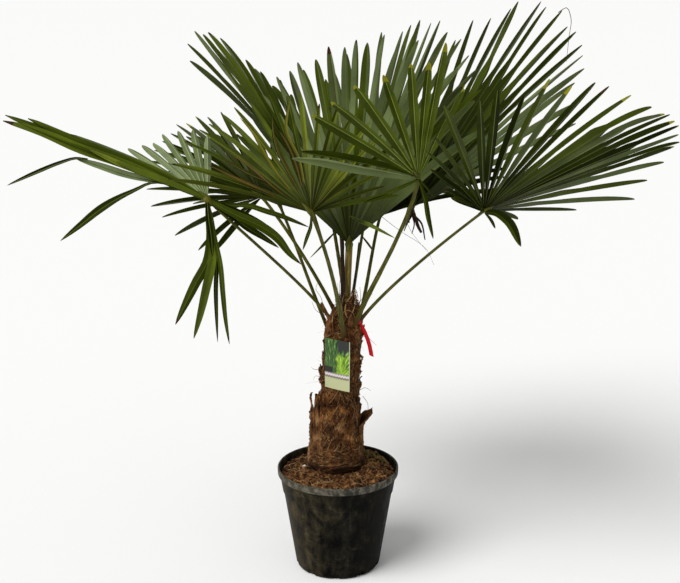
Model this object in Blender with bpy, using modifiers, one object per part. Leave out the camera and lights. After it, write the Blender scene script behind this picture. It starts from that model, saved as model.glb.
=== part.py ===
"""Young windmill palm growing in its round nursery pot.

Units are metres and +Z is up. The origin is the centre of the pot's flat underside.
The palm faces -Y: its name card hangs on that side of the trunk.
"""
import math

import bmesh
import bpy
import numpy as np
from mathutils import Vector
from mathutils.bvhtree import BVHTree

# Driving dimensions -------------------------------------------------------------
GAP = 0.0003                  # clearance between two pieces that touch
POT_HEIGHT = 0.260
POT_LIP_RADIUS = 0.150
POT_LIP_DEPTH = 0.018
POT_STEP_HEIGHT = 0.200       # above this line the wall stands a little prouder
POT_BASE_RADIUS = 0.108
POT_FOOT_RADIUS = 0.096       # the ring that the pot stands on
POT_WALL = 0.003
POT_FLOOR = 0.005
POT_STEPS = 40
FOOT_NOTCHES = 10             # drain slots cut in the lower edge
SOIL_EDGE_HEIGHT = 0.234
SOIL_TOP_HEIGHT = 0.2557      # level bed that the trunk stands on
SOIL_BED_RADIUS = 0.104

TRUNK_FOOT = (-0.006, 0.020)  # where the trunk stands on the soil
TRUNK_LEAN = (0.027, -0.018)  # how far its top leans over from that point
TRUNK_TOP = 0.668
TRUNK_SIDES = 24

BLADE_THICKNESS = 0.0048
LEAFLETS = 20                 # leaflets in a whole frond
HUB_RADIUS = 0.0040           # the ring where the leaflets of a frond meet
WEB = 0.42                    # share of the blade that stays joined
MIDDLE_SHARE = 0.55           # where a leaflet is measured between its web and its tip
MIDDLE_WIDTH = 0.72           # its width there, of its width at the web
TIP_WIDTH = 0.16
CUTS = (1.0, 0.86, 0.72, 0.58, 0.44, 0.3, 0.16, 0.08)  # lengths tried for a leaflet
KNUCKLE_RADIUS = 0.0100       # the thick joint of the broken frond
STALK_FOOT_RADIUS = 0.0078
STALK_TIP_RADIUS = 0.0042
STALK_NECK_RADIUS = 0.0028    # its end, inside the ring of the hub
STALK_NECK_REACH = 0.0022     # how far that end goes past the middle of the ring
STALK_STEPS = 12
BOOT_LIFT = 0.0012            # clearance of an old leaf base from the curved trunk

KNOT_ANGLE = -38              # the ribbon's knot on the trunk, in degrees from +X
KNOT_HEIGHT = 0.636
KNOT_RADIUS = 0.0062
RIBBON_TIP = (0.079, -0.024, 0.556)

CARD_WIDTH = 0.072
CARD_HEIGHT = 0.124
CARD_TURN = -125              # the way that the card faces, from +X
CARD_SHIFT = 0.020            # how far it hangs to the right of the trunk's line
CARD_THICKNESS = 0.0012
RIBBON_WIDTH = 0.009
RIBBON_THICKNESS = 0.0012

# Each frond: the hub where its leaflets meet, where its stalk leaves the trunk
# (angle round the trunk from +X, height), the way the blade points (angle from
# +X, rise), its roll about that line, the leaflets' length and sag, how far the
# blade is cupped, how much shorter its outer leaflets are, and the angles that
# it spreads between.
FRONDS = {
    "right": dict(hub=(0.335, -0.080, 0.918), foot=(-20, 0.645), point=-11, rise=26,
                  roll=33, length=0.463, sag=0.03, cup=0.15, fall=0.48, spread=(-80, 92)),
    "back_right": dict(hub=(0.193, 0.260, 0.863), foot=(22, 0.660), point=48, rise=53,
                       roll=19, length=0.618, sag=0.02, cup=0.05, fall=0.29, spread=(-76, 30)),
    "back_left": dict(hub=(-0.097, 0.250, 0.955), foot=(118, 0.664), point=174, rise=57,
                      roll=10, length=0.432, sag=0.11, cup=0.11, fall=1.90, spread=(-68, 22)),
    "left_front": dict(hub=(-0.058, -0.200, 0.935), foot=(-92, 0.612), point=148, rise=38,
                       roll=32, length=0.333, sag=0.11, cup=0.10, fall=0.40, spread=(-108, 32)),
    "left_back": dict(hub=(-0.187, 0.140, 0.910), foot=(142, 0.655), point=173, rise=29,
                      roll=35, length=0.290, sag=0.09, cup=0.09, fall=0.34, spread=(-44, 84)),
    "centre": dict(hub=(0.026, -0.020, 0.824), foot=None, point=67, rise=73,
                   roll=17, length=0.505, sag=0.10, cup=0.11, fall=0.45, spread=(-50, 54)),
    "middle_back": dict(hub=(0.067, 0.140, 0.865), foot=(74, 0.650), point=65, rise=66,
                        roll=31, length=0.503, sag=0.10, cup=0.11, fall=0.29, spread=(-56, 40)),
    "upper_back": dict(hub=(0.005, 0.200, 0.820), foot=(98, 0.655), point=119, rise=48,
                       roll=-12, length=0.528, sag=0.10, cup=0.23, fall=0.29, spread=(-70, 12)),
    "right_front": dict(hub=(0.176, -0.200, 1.012), foot=(-55, 0.640), point=-133, rise=46,
                        roll=137, length=0.300, sag=0.03, cup=0.0, fall=0.40, spread=(-40, 52)),
    "broken": dict(hub=(-0.296, -0.100, 0.947), foot=(-166, 0.645), point=133, rise=24,
                   roll=-160, length=0.281, sag=0.02, cup=0.01, fall=0.63, spread=(-12, 40)),
    "rear": dict(hub=(-0.020, 0.300, 0.860), foot=(84, 0.612), point=95, rise=22,
                 roll=0, length=0.420, sag=0.18, cup=0.12, fall=0.30, spread=(-80, 80)),
    "rear_right": dict(hub=(0.110, 0.310, 0.830), foot=(45, 0.620), point=66, rise=34,
                       roll=8, length=0.380, sag=0.14, cup=0.12, fall=0.30, spread=(-70, 70)),
    "rear_left": dict(hub=(-0.150, 0.270, 0.865), foot=(160, 0.618), point=122, rise=34,
                      roll=-8, length=0.330, sag=0.12, cup=0.12, fall=0.30, spread=(-70, 66)),
}

# The broken frond's other leaflets hang from its hub in three bundles.
BUNDLES = {
    "broken_long": dict(point=174, rise=21, roll=151, length=0.490, sag=-0.01,
                        cup=0.0, fall=0.30, spread=(-5, 5), web=0.80, leaflets=3),
    "broken_hanging": dict(point=-88, rise=-63, roll=-22, length=0.335, sag=0.05,
                           cup=0.0, fall=0.30, spread=(-19, 14), web=0.30, leaflets=4),
    "broken_inner": dict(point=-24, rise=-6, roll=-90, length=0.285, sag=0.24,
                         cup=0.0, fall=0.30, spread=(-20, 18), web=0.24, leaflets=2),
}

# Single leaflets that have parted from the long bundle and bent: the share of the
# bundle's length where each parts, where it bends, its tip and its width.
STRAYS = {
    "stray_upper": (0.38, (-0.569, -0.105, 1.045), (-0.745, -0.120, 0.983), 0.016),
    "stray_lower": (0.16, (-0.417, -0.125, 0.989), (-0.605, -0.150, 0.861), 0.018),
}


def clear_scene():
    """Remove everything that the start-up file holds."""
    for item in list(bpy.data.objects):
        bpy.data.objects.remove(item, do_unlink=True)


def new_collection(name):
    collection = bpy.data.collections.new(name)
    bpy.context.scene.collection.children.link(collection)
    return collection


def colour_from_hex(code):
    """Turn an sRGB hex code into a linear colour."""
    parts = [int(code[i:i + 2], 16) / 255 for i in (0, 2, 4)]
    linear = [c / 12.92 if c <= 0.04045 else ((c + 0.055) / 1.055) ** 2.4 for c in parts]
    return (*linear, 1.0)


def new_material(name, code, roughness):
    material = bpy.data.materials.new(name)
    material.use_nodes = True
    shader = material.node_tree.nodes["Principled BSDF"]
    shader.inputs["Base Color"].default_value = colour_from_hex(code)
    shader.inputs["Roughness"].default_value = roughness
    shader.inputs["Metallic"].default_value = 0.0
    return material


clear_scene()
palm = new_collection("windmill_palm")
cutters = new_collection("cutters")
placed = []                   # search trees of the solids that leaflets keep clear of


def add_mesh(name, points, faces, material):
    """Make an object from points and faces, with its faces turned outwards."""
    mesh = bpy.data.meshes.new(name)
    mesh.from_pydata([tuple(p) for p in points], [], [tuple(f) for f in faces])
    shape = bmesh.new()
    shape.from_mesh(mesh)
    bmesh.ops.recalc_face_normals(shape, faces=shape.faces)
    shape.to_mesh(mesh)
    shape.free()
    item = bpy.data.objects.new(name, mesh)
    palm.objects.link(item)
    mesh.materials.append(material)
    return item


def search_tree(item):
    """A search tree of an object's evaluated surface."""
    graph = bpy.context.evaluated_depsgraph_get()
    return BVHTree.FromObject(item, graph)


def turned(name, profile, material):
    """Turn a profile of (radius, height) about the Z axis."""
    mesh = bpy.data.meshes.new(name)
    edges = [(i, i + 1) for i in range(len(profile) - 1)]
    mesh.from_pydata([(r, 0.0, z) for r, z in profile], edges, [])
    item = bpy.data.objects.new(name, mesh)
    palm.objects.link(item)
    mesh.materials.append(material)
    screw = item.modifiers.new("turn", "SCREW")
    screw.steps = POT_STEPS
    screw.render_steps = POT_STEPS
    screw.use_merge_vertices = True
    screw.merge_threshold = 0.0001
    return item


# Pot and soil -------------------------------------------------------------------
def pot_outer_radius(height):
    """Radius of the tapering outer wall at a height."""
    top = POT_LIP_RADIUS - 0.006
    share = height / (POT_HEIGHT - POT_LIP_DEPTH)
    inset = 0.0 if height > POT_STEP_HEIGHT else 0.0015
    return POT_BASE_RADIUS - 0.002 + (top - POT_BASE_RADIUS + 0.002) * share - inset


def make_pot():
    under_lip = POT_HEIGHT - POT_LIP_DEPTH
    inner_floor = POT_BASE_RADIUS - POT_WALL - 0.006
    profile = [
        (0.0, POT_FLOOR),
        (inner_floor, POT_FLOOR),
        (pot_outer_radius(0.03) - POT_WALL, 0.03),
        (pot_outer_radius(under_lip) - POT_WALL, under_lip),
        (POT_LIP_RADIUS - POT_WALL - 0.004, POT_HEIGHT - 0.002),
        (POT_LIP_RADIUS - POT_WALL, POT_HEIGHT),
        (POT_LIP_RADIUS - 0.001, POT_HEIGHT - 0.001),
        (POT_LIP_RADIUS, POT_HEIGHT - 0.004),
        (POT_LIP_RADIUS - 0.001, under_lip),
        (pot_outer_radius(under_lip), under_lip - 0.002),
        (pot_outer_radius(POT_STEP_HEIGHT + 0.001), POT_STEP_HEIGHT + 0.001),
        (pot_outer_radius(POT_STEP_HEIGHT - 0.001), POT_STEP_HEIGHT - 0.001),
        (pot_outer_radius(0.016), 0.016),
        (POT_FOOT_RADIUS + 0.007, 0.004),
        (POT_FOOT_RADIUS, 0.0),
        (0.0, 0.0),
    ]
    pot = turned("pot", profile, pot_plastic)
    cut_foot_notches(pot)
    return pot


def cut_foot_notches(pot):
    """Cut the drain slots round the lower edge of the wall."""
    blocks = bmesh.new()
    for index in range(FOOT_NOTCHES):
        angle = math.radians(360 / FOOT_NOTCHES * (index + 0.4))
        block = bmesh.ops.create_cube(blocks, size=1.0)["verts"]
        bmesh.ops.scale(blocks, vec=(0.010, 0.016, 0.007), verts=block)
        bmesh.ops.translate(blocks, vec=(POT_FOOT_RADIUS + 0.007, 0, 0.0028), verts=block)
        turn = Vector((math.cos(angle), math.sin(angle), 0))
        for corner in block:
            x, y, z = corner.co
            corner.co = Vector((x * turn.x - y * turn.y, x * turn.y + y * turn.x, z))
    mesh = bpy.data.meshes.new("foot_notch_cutter")
    blocks.to_mesh(mesh)
    blocks.free()
    cutter = bpy.data.objects.new("foot_notch_cutter", mesh)
    cutters.objects.link(cutter)
    cutter.hide_render = True
    cutter.display_type = "WIRE"
    cut = pot.modifiers.new("notches", "BOOLEAN")
    cut.operation = "DIFFERENCE"
    cut.object = cutter


def make_soil():
    """Soil fills the pot, a hair clear of its wall and floor."""
    low = 0.03
    inner_floor = POT_BASE_RADIUS - POT_WALL - 0.006
    edge = pot_outer_radius(SOIL_EDGE_HEIGHT) - POT_WALL - 2 * GAP
    return turned("soil", [
        (0.0, SOIL_TOP_HEIGHT),
        (SOIL_BED_RADIUS, SOIL_TOP_HEIGHT),
        (edge - 0.010, SOIL_EDGE_HEIGHT + 0.008),
        (edge, SOIL_EDGE_HEIGHT),
        (pot_outer_radius(low) - POT_WALL - 2 * GAP, low),
        (inner_floor - 2 * GAP, POT_FLOOR + GAP),
        (0.0, POT_FLOOR + GAP),
    ], soil_brown)


# Trunk --------------------------------------------------------------------------
# Height and radius of the trunk: a flare at the soil, a wide fibrous sleeve of old
# leaf bases, the narrower stem above it and the sheaths of the crown.
TRUNK_OUTLINE = [
    (SOIL_TOP_HEIGHT + GAP, 0.0700), (0.275, 0.0665), (0.310, 0.0630), (0.350, 0.0620),
    (0.385, 0.0600), (0.418, 0.0570), (0.440, 0.0520), (0.452, 0.0470), (0.500, 0.0450),
    (0.560, 0.0440), (0.610, 0.0445), (0.640, 0.0430), (0.655, 0.0380), (TRUNK_TOP, 0.0330),
]


def trunk_centre(height):
    """Middle of the trunk at a height: it leans a little more towards the top."""
    share = (height - SOIL_TOP_HEIGHT) / (TRUNK_TOP - SOIL_TOP_HEIGHT)
    bend = share ** 1.4
    return (TRUNK_FOOT[0] + TRUNK_LEAN[0] * bend, TRUNK_FOOT[1] + TRUNK_LEAN[1] * bend)


def trunk_radius(height, angle):
    """Radius of the trunk, with the slow swell of the leaf bases round it."""
    heights, radii = zip(*TRUNK_OUTLINE)
    swell = 1 + 0.03 * math.sin(3 * angle + 14 * height) * math.sin(9 * height)
    return float(np.interp(height, heights, radii)) * swell


def trunk_point(height, angle, lift=0.0):
    """A point on the trunk's surface, or lifted off it."""
    middle = trunk_centre(height)
    reach = trunk_radius(height, angle) + lift
    return Vector((middle[0] + reach * math.cos(angle), middle[1] + reach * math.sin(angle), height))


def make_trunk():
    rows = [row[0] for row in TRUNK_OUTLINE]
    points = []
    for height in rows:
        for side in range(TRUNK_SIDES):
            points.append(trunk_point(height, 2 * math.pi * side / TRUNK_SIDES))
    faces = []
    for row in range(len(rows) - 1):
        for side in range(TRUNK_SIDES):
            following = (side + 1) % TRUNK_SIDES
            low, high = row * TRUNK_SIDES, (row + 1) * TRUNK_SIDES
            faces.append((low + side, low + following, high + following, high + side))
    faces.append(tuple(range(TRUNK_SIDES))[::-1])
    faces.append(tuple(range((len(rows) - 1) * TRUNK_SIDES, len(rows) * TRUNK_SIDES)))
    return add_mesh("trunk", points, faces, trunk_fibre)


def make_boot(name, angle, low, high, width, thickness, stand_off):
    """An old leaf base: a strip that hugs the trunk and ends in a point off it."""
    rows, columns = 6, 4
    half = math.radians(width) / 2
    points = []
    for layer in (0, 1):
        for row in range(rows):
            share = row / (rows - 1)
            height = low + (high - low) * share
            taper = (1 - share) ** 0.6 * 0.94 + 0.06
            for column in range(columns):
                across = column / (columns - 1) * 2 - 1
                turn = math.radians(angle) + half * across * taper
                lift = BOOT_LIFT + stand_off * share ** 2
                depth = thickness * (1 - 0.6 * share) * (1 - 0.5 * across * across)
                points.append(trunk_point(height, turn, lift + layer * depth))
    size = rows * columns

    def at(layer, row, column):
        return layer * size + row * columns + column
    faces = []
    for row in range(rows - 1):
        for column in range(columns - 1):
            for layer in (0, 1):
                faces.append((at(layer, row, column), at(layer, row, column + 1),
                              at(layer, row + 1, column + 1), at(layer, row + 1, column)))
        for column in (0, columns - 1):
            faces.append((at(0, row, column), at(0, row + 1, column),
                          at(1, row + 1, column), at(1, row, column)))
    for column in range(columns - 1):
        for row in (0, rows - 1):
            faces.append((at(0, row, column), at(0, row, column + 1),
                          at(1, row, column + 1), at(1, row, column)))
    return add_mesh(name, points, faces, boot_brown)


# Old leaf bases: angle round the trunk, lowest and highest height, width round the
# trunk in degrees, thickness, and how far the tip stands off.
BOOTS = {
    "boot_right": (-18, 0.300, 0.402, 62, 0.010, 0.022),
    "boot_left": (186, 0.275, 0.456, 42, 0.008, 0.022),
    "boot_front": (-72, 0.290, 0.412, 44, 0.008, 0.003),
    "boot_front_left": (-128, 0.282, 0.436, 46, 0.007, 0.004),
    "boot_back": (60, 0.285, 0.440, 64, 0.008, 0.008),
    "boot_back_left": (120, 0.295, 0.450, 46, 0.007, 0.006),
}


# Fronds -------------------------------------------------------------------------
for sizes in BUNDLES.values():
    sizes["hub"] = FRONDS["broken"]["hub"]
for sizes in (FRONDS["broken"], *BUNDLES.values()):
    sizes["knuckled"] = True


def blade_axes(point, rise, roll):
    """Three unit vectors: along the blade, across it to its left, and out of its upper face."""
    point, rise, roll = math.radians(point), math.radians(rise), math.radians(roll)
    along = np.array([math.cos(rise) * math.cos(point), math.cos(rise) * math.sin(point),
                      math.sin(rise)])
    across = np.cross((0, 0, 1), along)
    across = across / np.linalg.norm(across)
    out = np.cross(along, across)
    out = out * math.cos(roll) + across * math.sin(roll)
    return along, np.cross(out, along), out


def leaflet_path(frond, axes, angle, shares, steps=24):
    """Points along the leaflet at an angle from the blade's middle.

    It sets off straight from the hub and turns down with its own weight, and the
    points are those at the given shares of its length.
    """
    along, across, out = axes
    turn = math.radians(angle)
    start = math.cos(turn) * along + math.sin(turn) * across
    start = start + frond["cup"] * abs(math.sin(turn)) * out
    start = start / np.linalg.norm(start)
    reach = frond["length"] * (1 - frond["fall"] * (turn / 2) ** 2)
    ways = (np.arange(steps) + 0.5) / steps
    ways = start - np.outer(2 * frond["sag"] * ways, (0, 0, 1))
    ways = ways / np.linalg.norm(ways, axis=1)[:, None]
    line = np.vstack([np.zeros(3), np.cumsum(ways, axis=0) / steps]) * reach
    at = np.asarray(shares) * steps
    spots = [np.interp(at, np.arange(steps + 1), line[:, k]) for k in range(3)]
    return np.array(frond["hub"]) + np.stack(spots, axis=1), reach


def hub_radius(frond):
    """Where the leaflets start: round the stalk's end, or round the knuckle."""
    return KNUCKLE_RADIUS + GAP if frond.get("knuckled") else HUB_RADIUS


def leaflet_rows(frond, axes, low, high, cut):
    """The corners of one leaflet: hub, web, middle and tip, each a left and a right point.

    cut is the share of its full length that it keeps.
    """
    middle = (low + high) / 2
    _, reach = leaflet_path(frond, axes, middle, [1])
    web = min(frond.get("web", WEB), 0.8 * cut)
    rows = []
    for share in (hub_radius(frond) / reach, web):
        left = leaflet_path(frond, axes, low, [share])[0][0]
        right = leaflet_path(frond, axes, high, [share])[0][0]
        rows.append((left, right))
    width = np.linalg.norm(rows[1][0] - rows[1][1])
    shares = [web + (cut - web) * MIDDLE_SHARE, cut]
    spots, _ = leaflet_path(frond, axes, middle, shares)
    sideways = (rows[1][1] - rows[1][0]) / width
    for spot, part in zip(spots, (MIDDLE_WIDTH, TIP_WIDTH)):
        rows.append((spot - sideways * width * part / 2, spot + sideways * width * part / 2))
    return rows


def thick_faces(rows, thickness):
    """A closed thin solid round a leaflet's rows, for the test of what it touches."""
    out = np.cross(rows[-1][0] - rows[0][0], rows[1][1] - rows[1][0])
    out = out / np.linalg.norm(out) * thickness / 2
    points = []
    for side in (-1, 1):
        for left, right in rows:
            points += [left + side * out, right + side * out]
    count = 2 * len(rows)
    faces = []
    for row in range(len(rows) - 1):
        a = 2 * row
        for shift in (0, count):
            faces.append((a + shift, a + 1 + shift, a + 3 + shift, a + 2 + shift))
        faces.append((a, a + 2, a + 2 + count, a + count))
        faces.append((a + 1, a + 3, a + 3 + count, a + 1 + count))
    last = count - 2
    faces.append((last, last + 1, last + 1 + count, last + count))
    return points, faces


def touches(rows):
    """True where a leaflet would come closer than the gap to a solid already placed."""
    points, faces = thick_faces(rows, BLADE_THICKNESS + 4 * GAP)
    tree = BVHTree.FromPolygons([tuple(p) for p in points], faces)
    return any(tree.overlap(other) for other in placed)


def make_blade(name, frond, material):
    """A fan of leaflets joined near the hub; one that would touch is cut shorter."""
    axes = blade_axes(frond["point"], frond["rise"], frond["roll"])
    first, last = frond["spread"]
    count = frond.get("leaflets", round(LEAFLETS * (last - first) / 170))
    edges = np.linspace(first, last, count + 1)
    cuts = []
    for low, high in zip(edges[:-1], edges[1:]):
        for cut in CUTS:
            if not touches(leaflet_rows(frond, axes, low, high, cut)):
                break
        cuts.append(cut)
    joined = frond.get("web", WEB)
    webs = [min(joined, 0.8 * min(cuts[max(0, k - 1):k + 1])) for k in range(count + 1)]
    points, faces = [], []
    for edge, web in zip(edges, webs):
        _, reach = leaflet_path(frond, axes, edge, [1])
        hub_share = hub_radius(frond) / reach
        points += list(leaflet_path(frond, axes, edge, [hub_share, web])[0])
    for k, cut in enumerate(cuts):
        base = 2 * k
        faces.append((base, base + 2, base + 3, base + 1))
        if cut == CUTS[-1]:
            continue
        rows = leaflet_rows(frond, axes, edges[k], edges[k + 1], cut)
        fresh = len(points)
        points += [rows[2][0], rows[2][1], rows[3][0], rows[3][1]]
        faces.append((base + 1, base + 3, fresh + 1, fresh))
        faces.append((fresh, fresh + 1, fresh + 3, fresh + 2))
    blade = add_mesh(name, points, faces, material)
    solidify = blade.modifiers.new("thickness", "SOLIDIFY")
    solidify.thickness = BLADE_THICKNESS
    solidify.offset = 0.0
    return blade


def seated_foot(start, lead, outward):
    """Slide a stalk's foot along outward until its rim is a hair clear of the trunk."""
    side = lead.orthogonal().normalized()
    other = lead.cross(side)
    for _ in range(4):
        clearances = []
        for step in range(16):
            turn = math.radians(360 / 16 * step)
            rim = start + (side * math.cos(turn) + other * math.sin(turn)) * STALK_FOOT_RADIUS
            middle = trunk_centre(min(rim.z, TRUNK_TOP))
            off = Vector((rim.x - middle[0], rim.y - middle[1]))
            clearances.append(off.length - trunk_radius(rim.z, math.atan2(off.y, off.x)))
        start = start + outward * (GAP - min(clearances))
    return start


def stalk_points(frond):
    """A smooth line from the trunk to the hub, a cubic curve."""
    hub = Vector(frond["hub"])
    if frond["foot"] is None:
        middle = trunk_centre(TRUNK_TOP)
        start = Vector((middle[0], middle[1], TRUNK_TOP + GAP))
        lead = Vector((0, 0, 1))
    else:
        angle, height = math.radians(frond["foot"][0]), frond["foot"][1]
        start = trunk_point(height, angle, 0.0)
        lead = (hub - start).normalized() * 0.5 + Vector((0, 0, 0.6))
        lead += Vector((math.cos(angle), math.sin(angle), 0)) * 0.3
        lead.normalize()
        start = seated_foot(start, lead, Vector((math.cos(angle), math.sin(angle), 0)))
    axes = blade_axes(frond["point"], frond["rise"], frond["roll"])
    span = (hub - start).length
    arrive = ((hub - start).normalized() + 0.35 * Vector(axes[0])).normalized()
    a, b = start + lead * span * 0.25, hub - arrive * span * 0.3
    points = []
    for step in range(STALK_STEPS + 1):
        t = step / STALK_STEPS
        points.append(start * (1 - t) ** 3 + a * 3 * t * (1 - t) ** 2
                      + b * 3 * t * t * (1 - t) + hub * t ** 3)
    ahead = (hub - points[-2]).normalized()
    reach = -(KNUCKLE_RADIUS + GAP) if frond.get("knuckled") else STALK_NECK_REACH
    points[-1] = hub + ahead * reach
    return points


def make_stalk(name, frond, material):
    """The frond's stalk: a tapering tube from the trunk to the hub."""
    points = stalk_points(frond)
    curve = bpy.data.curves.new(name, "CURVE")
    curve.dimensions = "3D"
    curve.bevel_depth = 1.0
    curve.bevel_resolution = 2
    curve.use_fill_caps = True
    line = curve.splines.new("POLY")
    line.points.add(len(points) - 1)
    for step, (knot, spot) in enumerate(zip(line.points, points)):
        share = step / STALK_STEPS
        knot.co = (*spot, 1.0)
        knot.radius = STALK_TIP_RADIUS + (STALK_FOOT_RADIUS - STALK_TIP_RADIUS) * (1 - share) ** 1.5
    if not frond.get("knuckled"):
        line.points[-1].radius = STALK_NECK_RADIUS
    stalk = bpy.data.objects.new(name, curve)
    palm.objects.link(stalk)
    curve.materials.append(material)
    return stalk


def make_ball(name, centre, radius, material):
    """A small faceted ball."""
    ball = bmesh.new()
    bmesh.ops.create_icosphere(ball, subdivisions=2, radius=radius)
    bmesh.ops.translate(ball, vec=centre, verts=ball.verts)
    mesh = bpy.data.meshes.new(name)
    ball.to_mesh(mesh)
    ball.free()
    item = bpy.data.objects.new(name, mesh)
    palm.objects.link(item)
    mesh.materials.append(material)
    return item


def make_strip(name, spots, widths, thickness, across, material):
    """A thin strip along a line of points, with a width at each and one sideways vector."""
    across = Vector(across).normalized()
    points, faces = [], []
    for step, (spot, width) in enumerate(zip(spots, widths)):
        points += [Vector(spot) - across * width / 2, Vector(spot) + across * width / 2]
        if step:
            a = 2 * step - 2
            faces.append((a, a + 1, a + 3, a + 2))
    strip = add_mesh(name, points, faces, material)
    solidify = strip.modifiers.new("thickness", "SOLIDIFY")
    solidify.thickness = thickness
    solidify.offset = 0.0
    return strip


def make_stray(name, share, bend, tip, width, material):
    """One leaflet that lies on the long bundle, parts from it, and bends down."""
    bundle = BUNDLES["broken_long"]
    axes = blade_axes(bundle["point"], bundle["rise"], bundle["roll"])
    thickness = BLADE_THICKNESS * 0.7
    seat = leaflet_path(bundle, axes, 0, [share])[0][0]
    start = seat + axes[2] * ((BLADE_THICKNESS + thickness) / 2 + GAP)
    return make_strip(name, (start, bend, tip), (width * 0.5, width, width * 0.2),
                      thickness, axes[1], material)


# Card and ribbon ------------------------------------------------------------------
def make_card():
    """The blank name card: it rests on the trunk's front, turned a little to the left."""
    height, turn = 0.535, math.radians(CARD_TURN)
    middle = trunk_centre(height)
    facing = Vector((math.cos(turn), math.sin(turn), 0))
    sideways = Vector((-facing.y, facing.x, 0))
    bpy.ops.mesh.primitive_cube_add(size=1.0)
    card = bpy.context.active_object
    card.name = card.data.name = "name_card"
    card.scale = (CARD_THICKNESS, CARD_WIDTH, CARD_HEIGHT)
    card.rotation_euler = (0, 0, turn)
    stand_off = 0.0466 + CARD_THICKNESS / 2 + GAP
    card.location = Vector((*middle, height)) + facing * stand_off + sideways * CARD_SHIFT
    for holder in list(card.users_collection):
        holder.objects.unlink(card)
    palm.objects.link(card)
    card.data.materials.append(card_green)


def make_ribbon():
    """A red ribbon: its knot sits on the trunk and its tail hangs clear to the right."""
    angle = math.radians(KNOT_ANGLE)
    outward = Vector((math.cos(angle), math.sin(angle), 0))
    knot_at = trunk_point(KNOT_HEIGHT, angle, KNOT_RADIUS + GAP)
    make_ball("ribbon_knot", knot_at, KNOT_RADIUS, ribbon_red)
    start = knot_at + outward * 0.0022 + Vector((0.0007, 0, -0.0062))
    tip = Vector(RIBBON_TIP)
    bow = outward * 0.006
    spots = [start.lerp(tip, t) + bow * math.sin(math.pi * t) for t in (0, 0.3, 0.6, 1)]
    widths = (RIBBON_WIDTH * 0.5, RIBBON_WIDTH, RIBBON_WIDTH, RIBBON_WIDTH)
    make_strip("ribbon_tail", spots, widths, RIBBON_THICKNESS, (0.85, -0.5, 0.2), ribbon_red)


pot_plastic = new_material("pot_plastic", "2A2A26", 0.55)
soil_brown = new_material("soil", "4F351C", 0.95)
trunk_fibre = new_material("trunk_fibre", "4E341D", 0.95)
boot_brown = new_material("leaf_base", "5A4028", 0.85)
stalk_green = new_material("stalk", "5B611E", 0.5)
leaf_green = new_material("leaf", "39451D", 0.45)
card_green = new_material("card", "8C9A5A", 0.5)
ribbon_red = new_material("ribbon", "C8202A", 0.45)

make_pot()
make_soil()
placed.append(search_tree(make_trunk()))
for boot_name, sizes in BOOTS.items():
    make_boot(boot_name, *sizes)
for frond_name, frond_sizes in FRONDS.items():
    placed.append(search_tree(make_stalk("stalk_" + frond_name, frond_sizes, stalk_green)))
make_card()
make_ribbon()
knuckle_at = FRONDS["broken"]["hub"]
placed.append(search_tree(make_ball("broken_knuckle", knuckle_at, KNUCKLE_RADIUS, stalk_green)))
for frond_name, frond_sizes in {**FRONDS, **BUNDLES}.items():
    placed.append(search_tree(make_blade("frond_" + frond_name, frond_sizes, leaf_green)))
for stray_name, stray_sizes in STRAYS.items():
    make_stray(stray_name, *stray_sizes, leaf_green)
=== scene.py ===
import math

import bpy
import numpy as np
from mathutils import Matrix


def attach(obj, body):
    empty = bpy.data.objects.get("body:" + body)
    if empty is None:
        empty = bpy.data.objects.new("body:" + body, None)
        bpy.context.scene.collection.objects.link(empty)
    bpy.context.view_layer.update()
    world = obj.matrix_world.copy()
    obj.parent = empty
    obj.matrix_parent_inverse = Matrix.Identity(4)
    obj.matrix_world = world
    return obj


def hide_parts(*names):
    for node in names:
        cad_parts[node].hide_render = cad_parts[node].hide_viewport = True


# Young windmill palm in its nursery pot. Metres, +Z up, the pot's underside centre at the origin.

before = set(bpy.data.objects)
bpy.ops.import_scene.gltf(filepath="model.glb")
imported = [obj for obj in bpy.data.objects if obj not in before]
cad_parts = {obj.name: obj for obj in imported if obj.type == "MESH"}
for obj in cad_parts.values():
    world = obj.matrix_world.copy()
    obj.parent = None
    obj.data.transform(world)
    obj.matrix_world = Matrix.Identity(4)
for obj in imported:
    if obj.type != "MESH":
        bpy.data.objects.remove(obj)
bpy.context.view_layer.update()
rootBody = "root"
rng = np.random.default_rng(7)
upward = np.array([0.0, 0.0, 1.0])
print("frame loaded")


# small tools that every piece uses

def toLinear(colour):
    # sRGB hex to linear colour; anything else is returned as it is
    if not isinstance(colour, str):
        return colour
    parts = np.array([int(colour[i:i + 2], 16) / 255 for i in (0, 2, 4)])
    linear = np.where(parts <= 0.04045, parts / 12.92, ((parts + 0.055) / 1.055) ** 2.4)
    return (*linear.tolist(), 1.0)


def addNode(tree, kind, inputs=(), output=None, stops=(), **settings):
    # one node and the output that is asked for, or its first live one. Inputs, by name or in order, are
    # values, hex colours or other nodes' outputs; stops are a colour ramp's (position, colour)
    node = tree.nodes.new("ShaderNode" + kind)
    for name, value in settings.items():
        setattr(node, name, value)
    for name, value in inputs.items() if isinstance(inputs, dict) else enumerate(inputs):
        if isinstance(value, bpy.types.NodeSocket):
            tree.links.new(value, node.inputs[name])
        else:
            node.inputs[name].default_value = toLinear(value)
    for _ in stops[2:]:
        node.color_ramp.elements.new(1.0)
    for place, (position, colour) in enumerate(stops):
        node.color_ramp.elements[place].position = position
        node.color_ramp.elements[place].color = toLinear(colour)
    return node.outputs[output] if output else next(socket for socket in node.outputs if socket.enabled)


def newFinish(name, roughness, specular=0.5):
    material = bpy.data.materials.new(name)
    material.use_nodes = True
    shader = material.node_tree.nodes["Principled BSDF"]
    shader.inputs["Roughness"].default_value = roughness
    shader.inputs["Specular IOR Level"].default_value = specular
    return material, material.node_tree


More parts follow.
